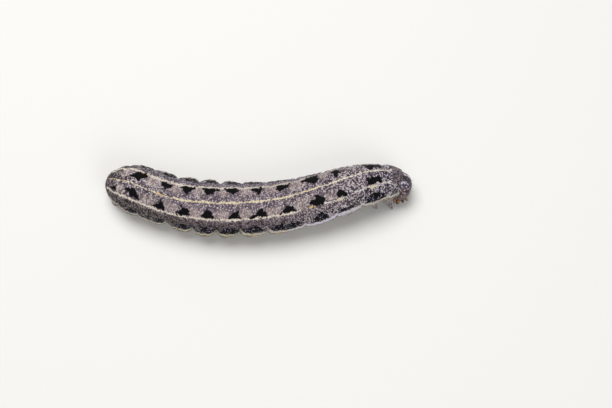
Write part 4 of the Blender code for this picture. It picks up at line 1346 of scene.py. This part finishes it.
def spiracle_spots():
    spots = []
    for name, share, angle in SPIRACLES:
        for _, side in SIDES:
            point, normal, ahead = skin_frame(place_in(name, share), side * angle)
            spots.append((point + 0.015 * normal, normal, ahead, SPIRACLE_SIZE))
    return spots


def hook_spots():
    """Rows of hooks, long and short by turns, round the inner edge of every proleg's sole."""
    spots = []
    for _, foot, outward in PROLEGS.values():
        ahead = np.cross(UP, outward)
        for i in range(HOOK_COUNT):
            turn = math.radians(-HOOK_SPREAD + 2 * HOOK_SPREAD * i / (HOOK_COUNT - 1))
            aim = -math.cos(turn) * outward + math.sin(turn) * ahead
            point = foot + aim * HOOK_RADIUS + (0.0, 0.0, HOOK_HEIGHT)
            spots.append((point, -aim * 0.2 + (0.0, 0.0, -1.0), aim, HOOK_SIZES[i % 2]))
    return spots


def small_finish(name, tone, roughness):
    """Horn of one tone with a fine darker mottle."""
    made = Finish(name)
    darker = (*(0.7 * part for part in tone[:3]), 1.0)
    made.base = made.between(made.noise(0.05, 1.0), 0.3, 0.7, tone, darker)
    return made.finish(roughness, Specular_IOR_Level=0.5)


def spiracle_finish():
    made = Finish("spiracle_shell")
    made.base = made.between(made.attribute("rim"), 0.2, 0.7, colour(24, 17, 18), colour(126, 98, 80))
    return made.finish(0.32, Specular_IOR_Level=0.5)


def make_repeats():
    """Hairs with their sockets, breathing holes, hooks and the twelve small eyes."""
    tree = repeat_tree()
    hair, socket, hook = hair_shape(), dome_shape("socket_shape", 0.30), hook_shape()
    spiracle, eye = spiracle_shape(), dome_shape("eye_shape", 0.62, 20)
    on_skin, on_head = hair_spots()
    sockets = [(*spot[:3], SOCKET_SIZE) for spot in on_skin]
    eyes = []
    for _, side in SIDES:
        eyes += [(*head_spot(side * across, upward, EYE_SUNK), size) for across, upward, size in SMALL_EYES]
    downy = small_finish("hairs", colour(120, 100, 84), 0.4)
    pitted = small_finish("hair_sockets", colour(70, 56, 54), 0.35)
    horny = small_finish("hooks", colour(64, 40, 28), 0.3)
    glossy = small_finish("eye_lenses", colour(26, 18, 18), 0.08)
    repeated("body_hairs", tree, hair, on_skin, downy, "body_skin")
    repeated("head_hairs", tree, hair, on_head, downy, "head_capsule")
    repeated("hair_sockets", tree, socket, sockets, pitted, "body_skin")
    repeated("spiracles", tree, spiracle, spiracle_spots(), spiracle_finish(), "body_skin")
    repeated("proleg_hooks", tree, hook, hook_spots(), horny, "prolegs")
    repeated("small_eyes", tree, eye, eyes, glossy, "head_capsule")
    for shape in (hair, socket, hook, spiracle, eye):
        bpy.data.objects.remove(shape)


def main():
    make_skin(skin_finish())
    make_head(head_finish())
    make_mouth_parts(mouth_finish())
    shell, flesh = leg_finish(), sole_finish()
    for name, line in LEGS.items():
        make_leg(name, *line, shell)
    for name, line in PROLEGS.items():
        make_sole(name, *line, flesh)
    make_repeats()


# The photograph's view: how steeply and from how far the camera looks, and where the frame's middle lies
CAMERA_TILT, CAMERA_DISTANCE, SENSOR = 74.0, 167.0, 36.0
PHOTO_WIDTH, PIXELS_A_MM = 612, 8.64
FRAME_MIDDLE = (22.82, -2.0, 0.0)


def set_camera():
    """The larva from above its right side, its middle left of the frame's."""
    target = Vector(FRAME_MIDDLE + OFFSET) * MM
    tilt = math.radians(CAMERA_TILT)
    lens = bpy.data.cameras.new("camera")
    lens.sensor_width = SENSOR
    lens.lens = SENSOR * CAMERA_DISTANCE / (PHOTO_WIDTH / PIXELS_A_MM)
    lens.clip_start, lens.clip_end = 0.001, 10.0
    camera = bpy.data.objects.new("camera", lens)
    camera.location = target + Vector((0.0, -math.cos(tilt), math.sin(tilt))) * CAMERA_DISTANCE * MM
    camera.rotation_euler = (math.pi / 2 - tilt, 0.0, 0.0)
    bpy.context.scene.collection.objects.link(camera)
    bpy.context.scene.camera = camera


def add_light(name, place, size, power):
    data = bpy.data.lights.new(name, "AREA")
    data.shape, data.size, data.energy = "DISK", size * MM, power
    light = bpy.data.objects.new(name, data)
    light.location = Vector(place) * MM
    light.rotation_euler = (-Vector(place)).to_track_quat("-Z", "Y").to_euler()
    bpy.context.scene.collection.objects.link(light)


def set_studio():
    """A pale floor and soft light from above and behind the larva."""
    reach = 3000.0
    corners = [(-reach, -reach, 0.0), (reach, -reach, 0.0), (reach, reach, 0.0), (-reach, reach, 0.0)]
    pale = Finish("pale_floor", colour(226, 225, 222)).finish(0.8)
    mesh_piece("floor", corners, [(0, 1, 2, 3)], pale)
    add_light("key", (-50.0, 90.0, 290.0), 220.0, 0.85)
    add_light("fill", (120.0, -200.0, 200.0), 200.0, 0.22)
    world = bpy.data.worlds.new("room")
    world.use_nodes = True
    background = world.node_tree.nodes["Background"]
    background.inputs["Color"].default_value = (1.0, 1.0, 1.0, 1.0)
    background.inputs["Strength"].default_value = 0.34
    bpy.context.scene.world = world
    bpy.context.scene.view_settings.view_transform = "Standard"


main()
set_camera()
set_studio()
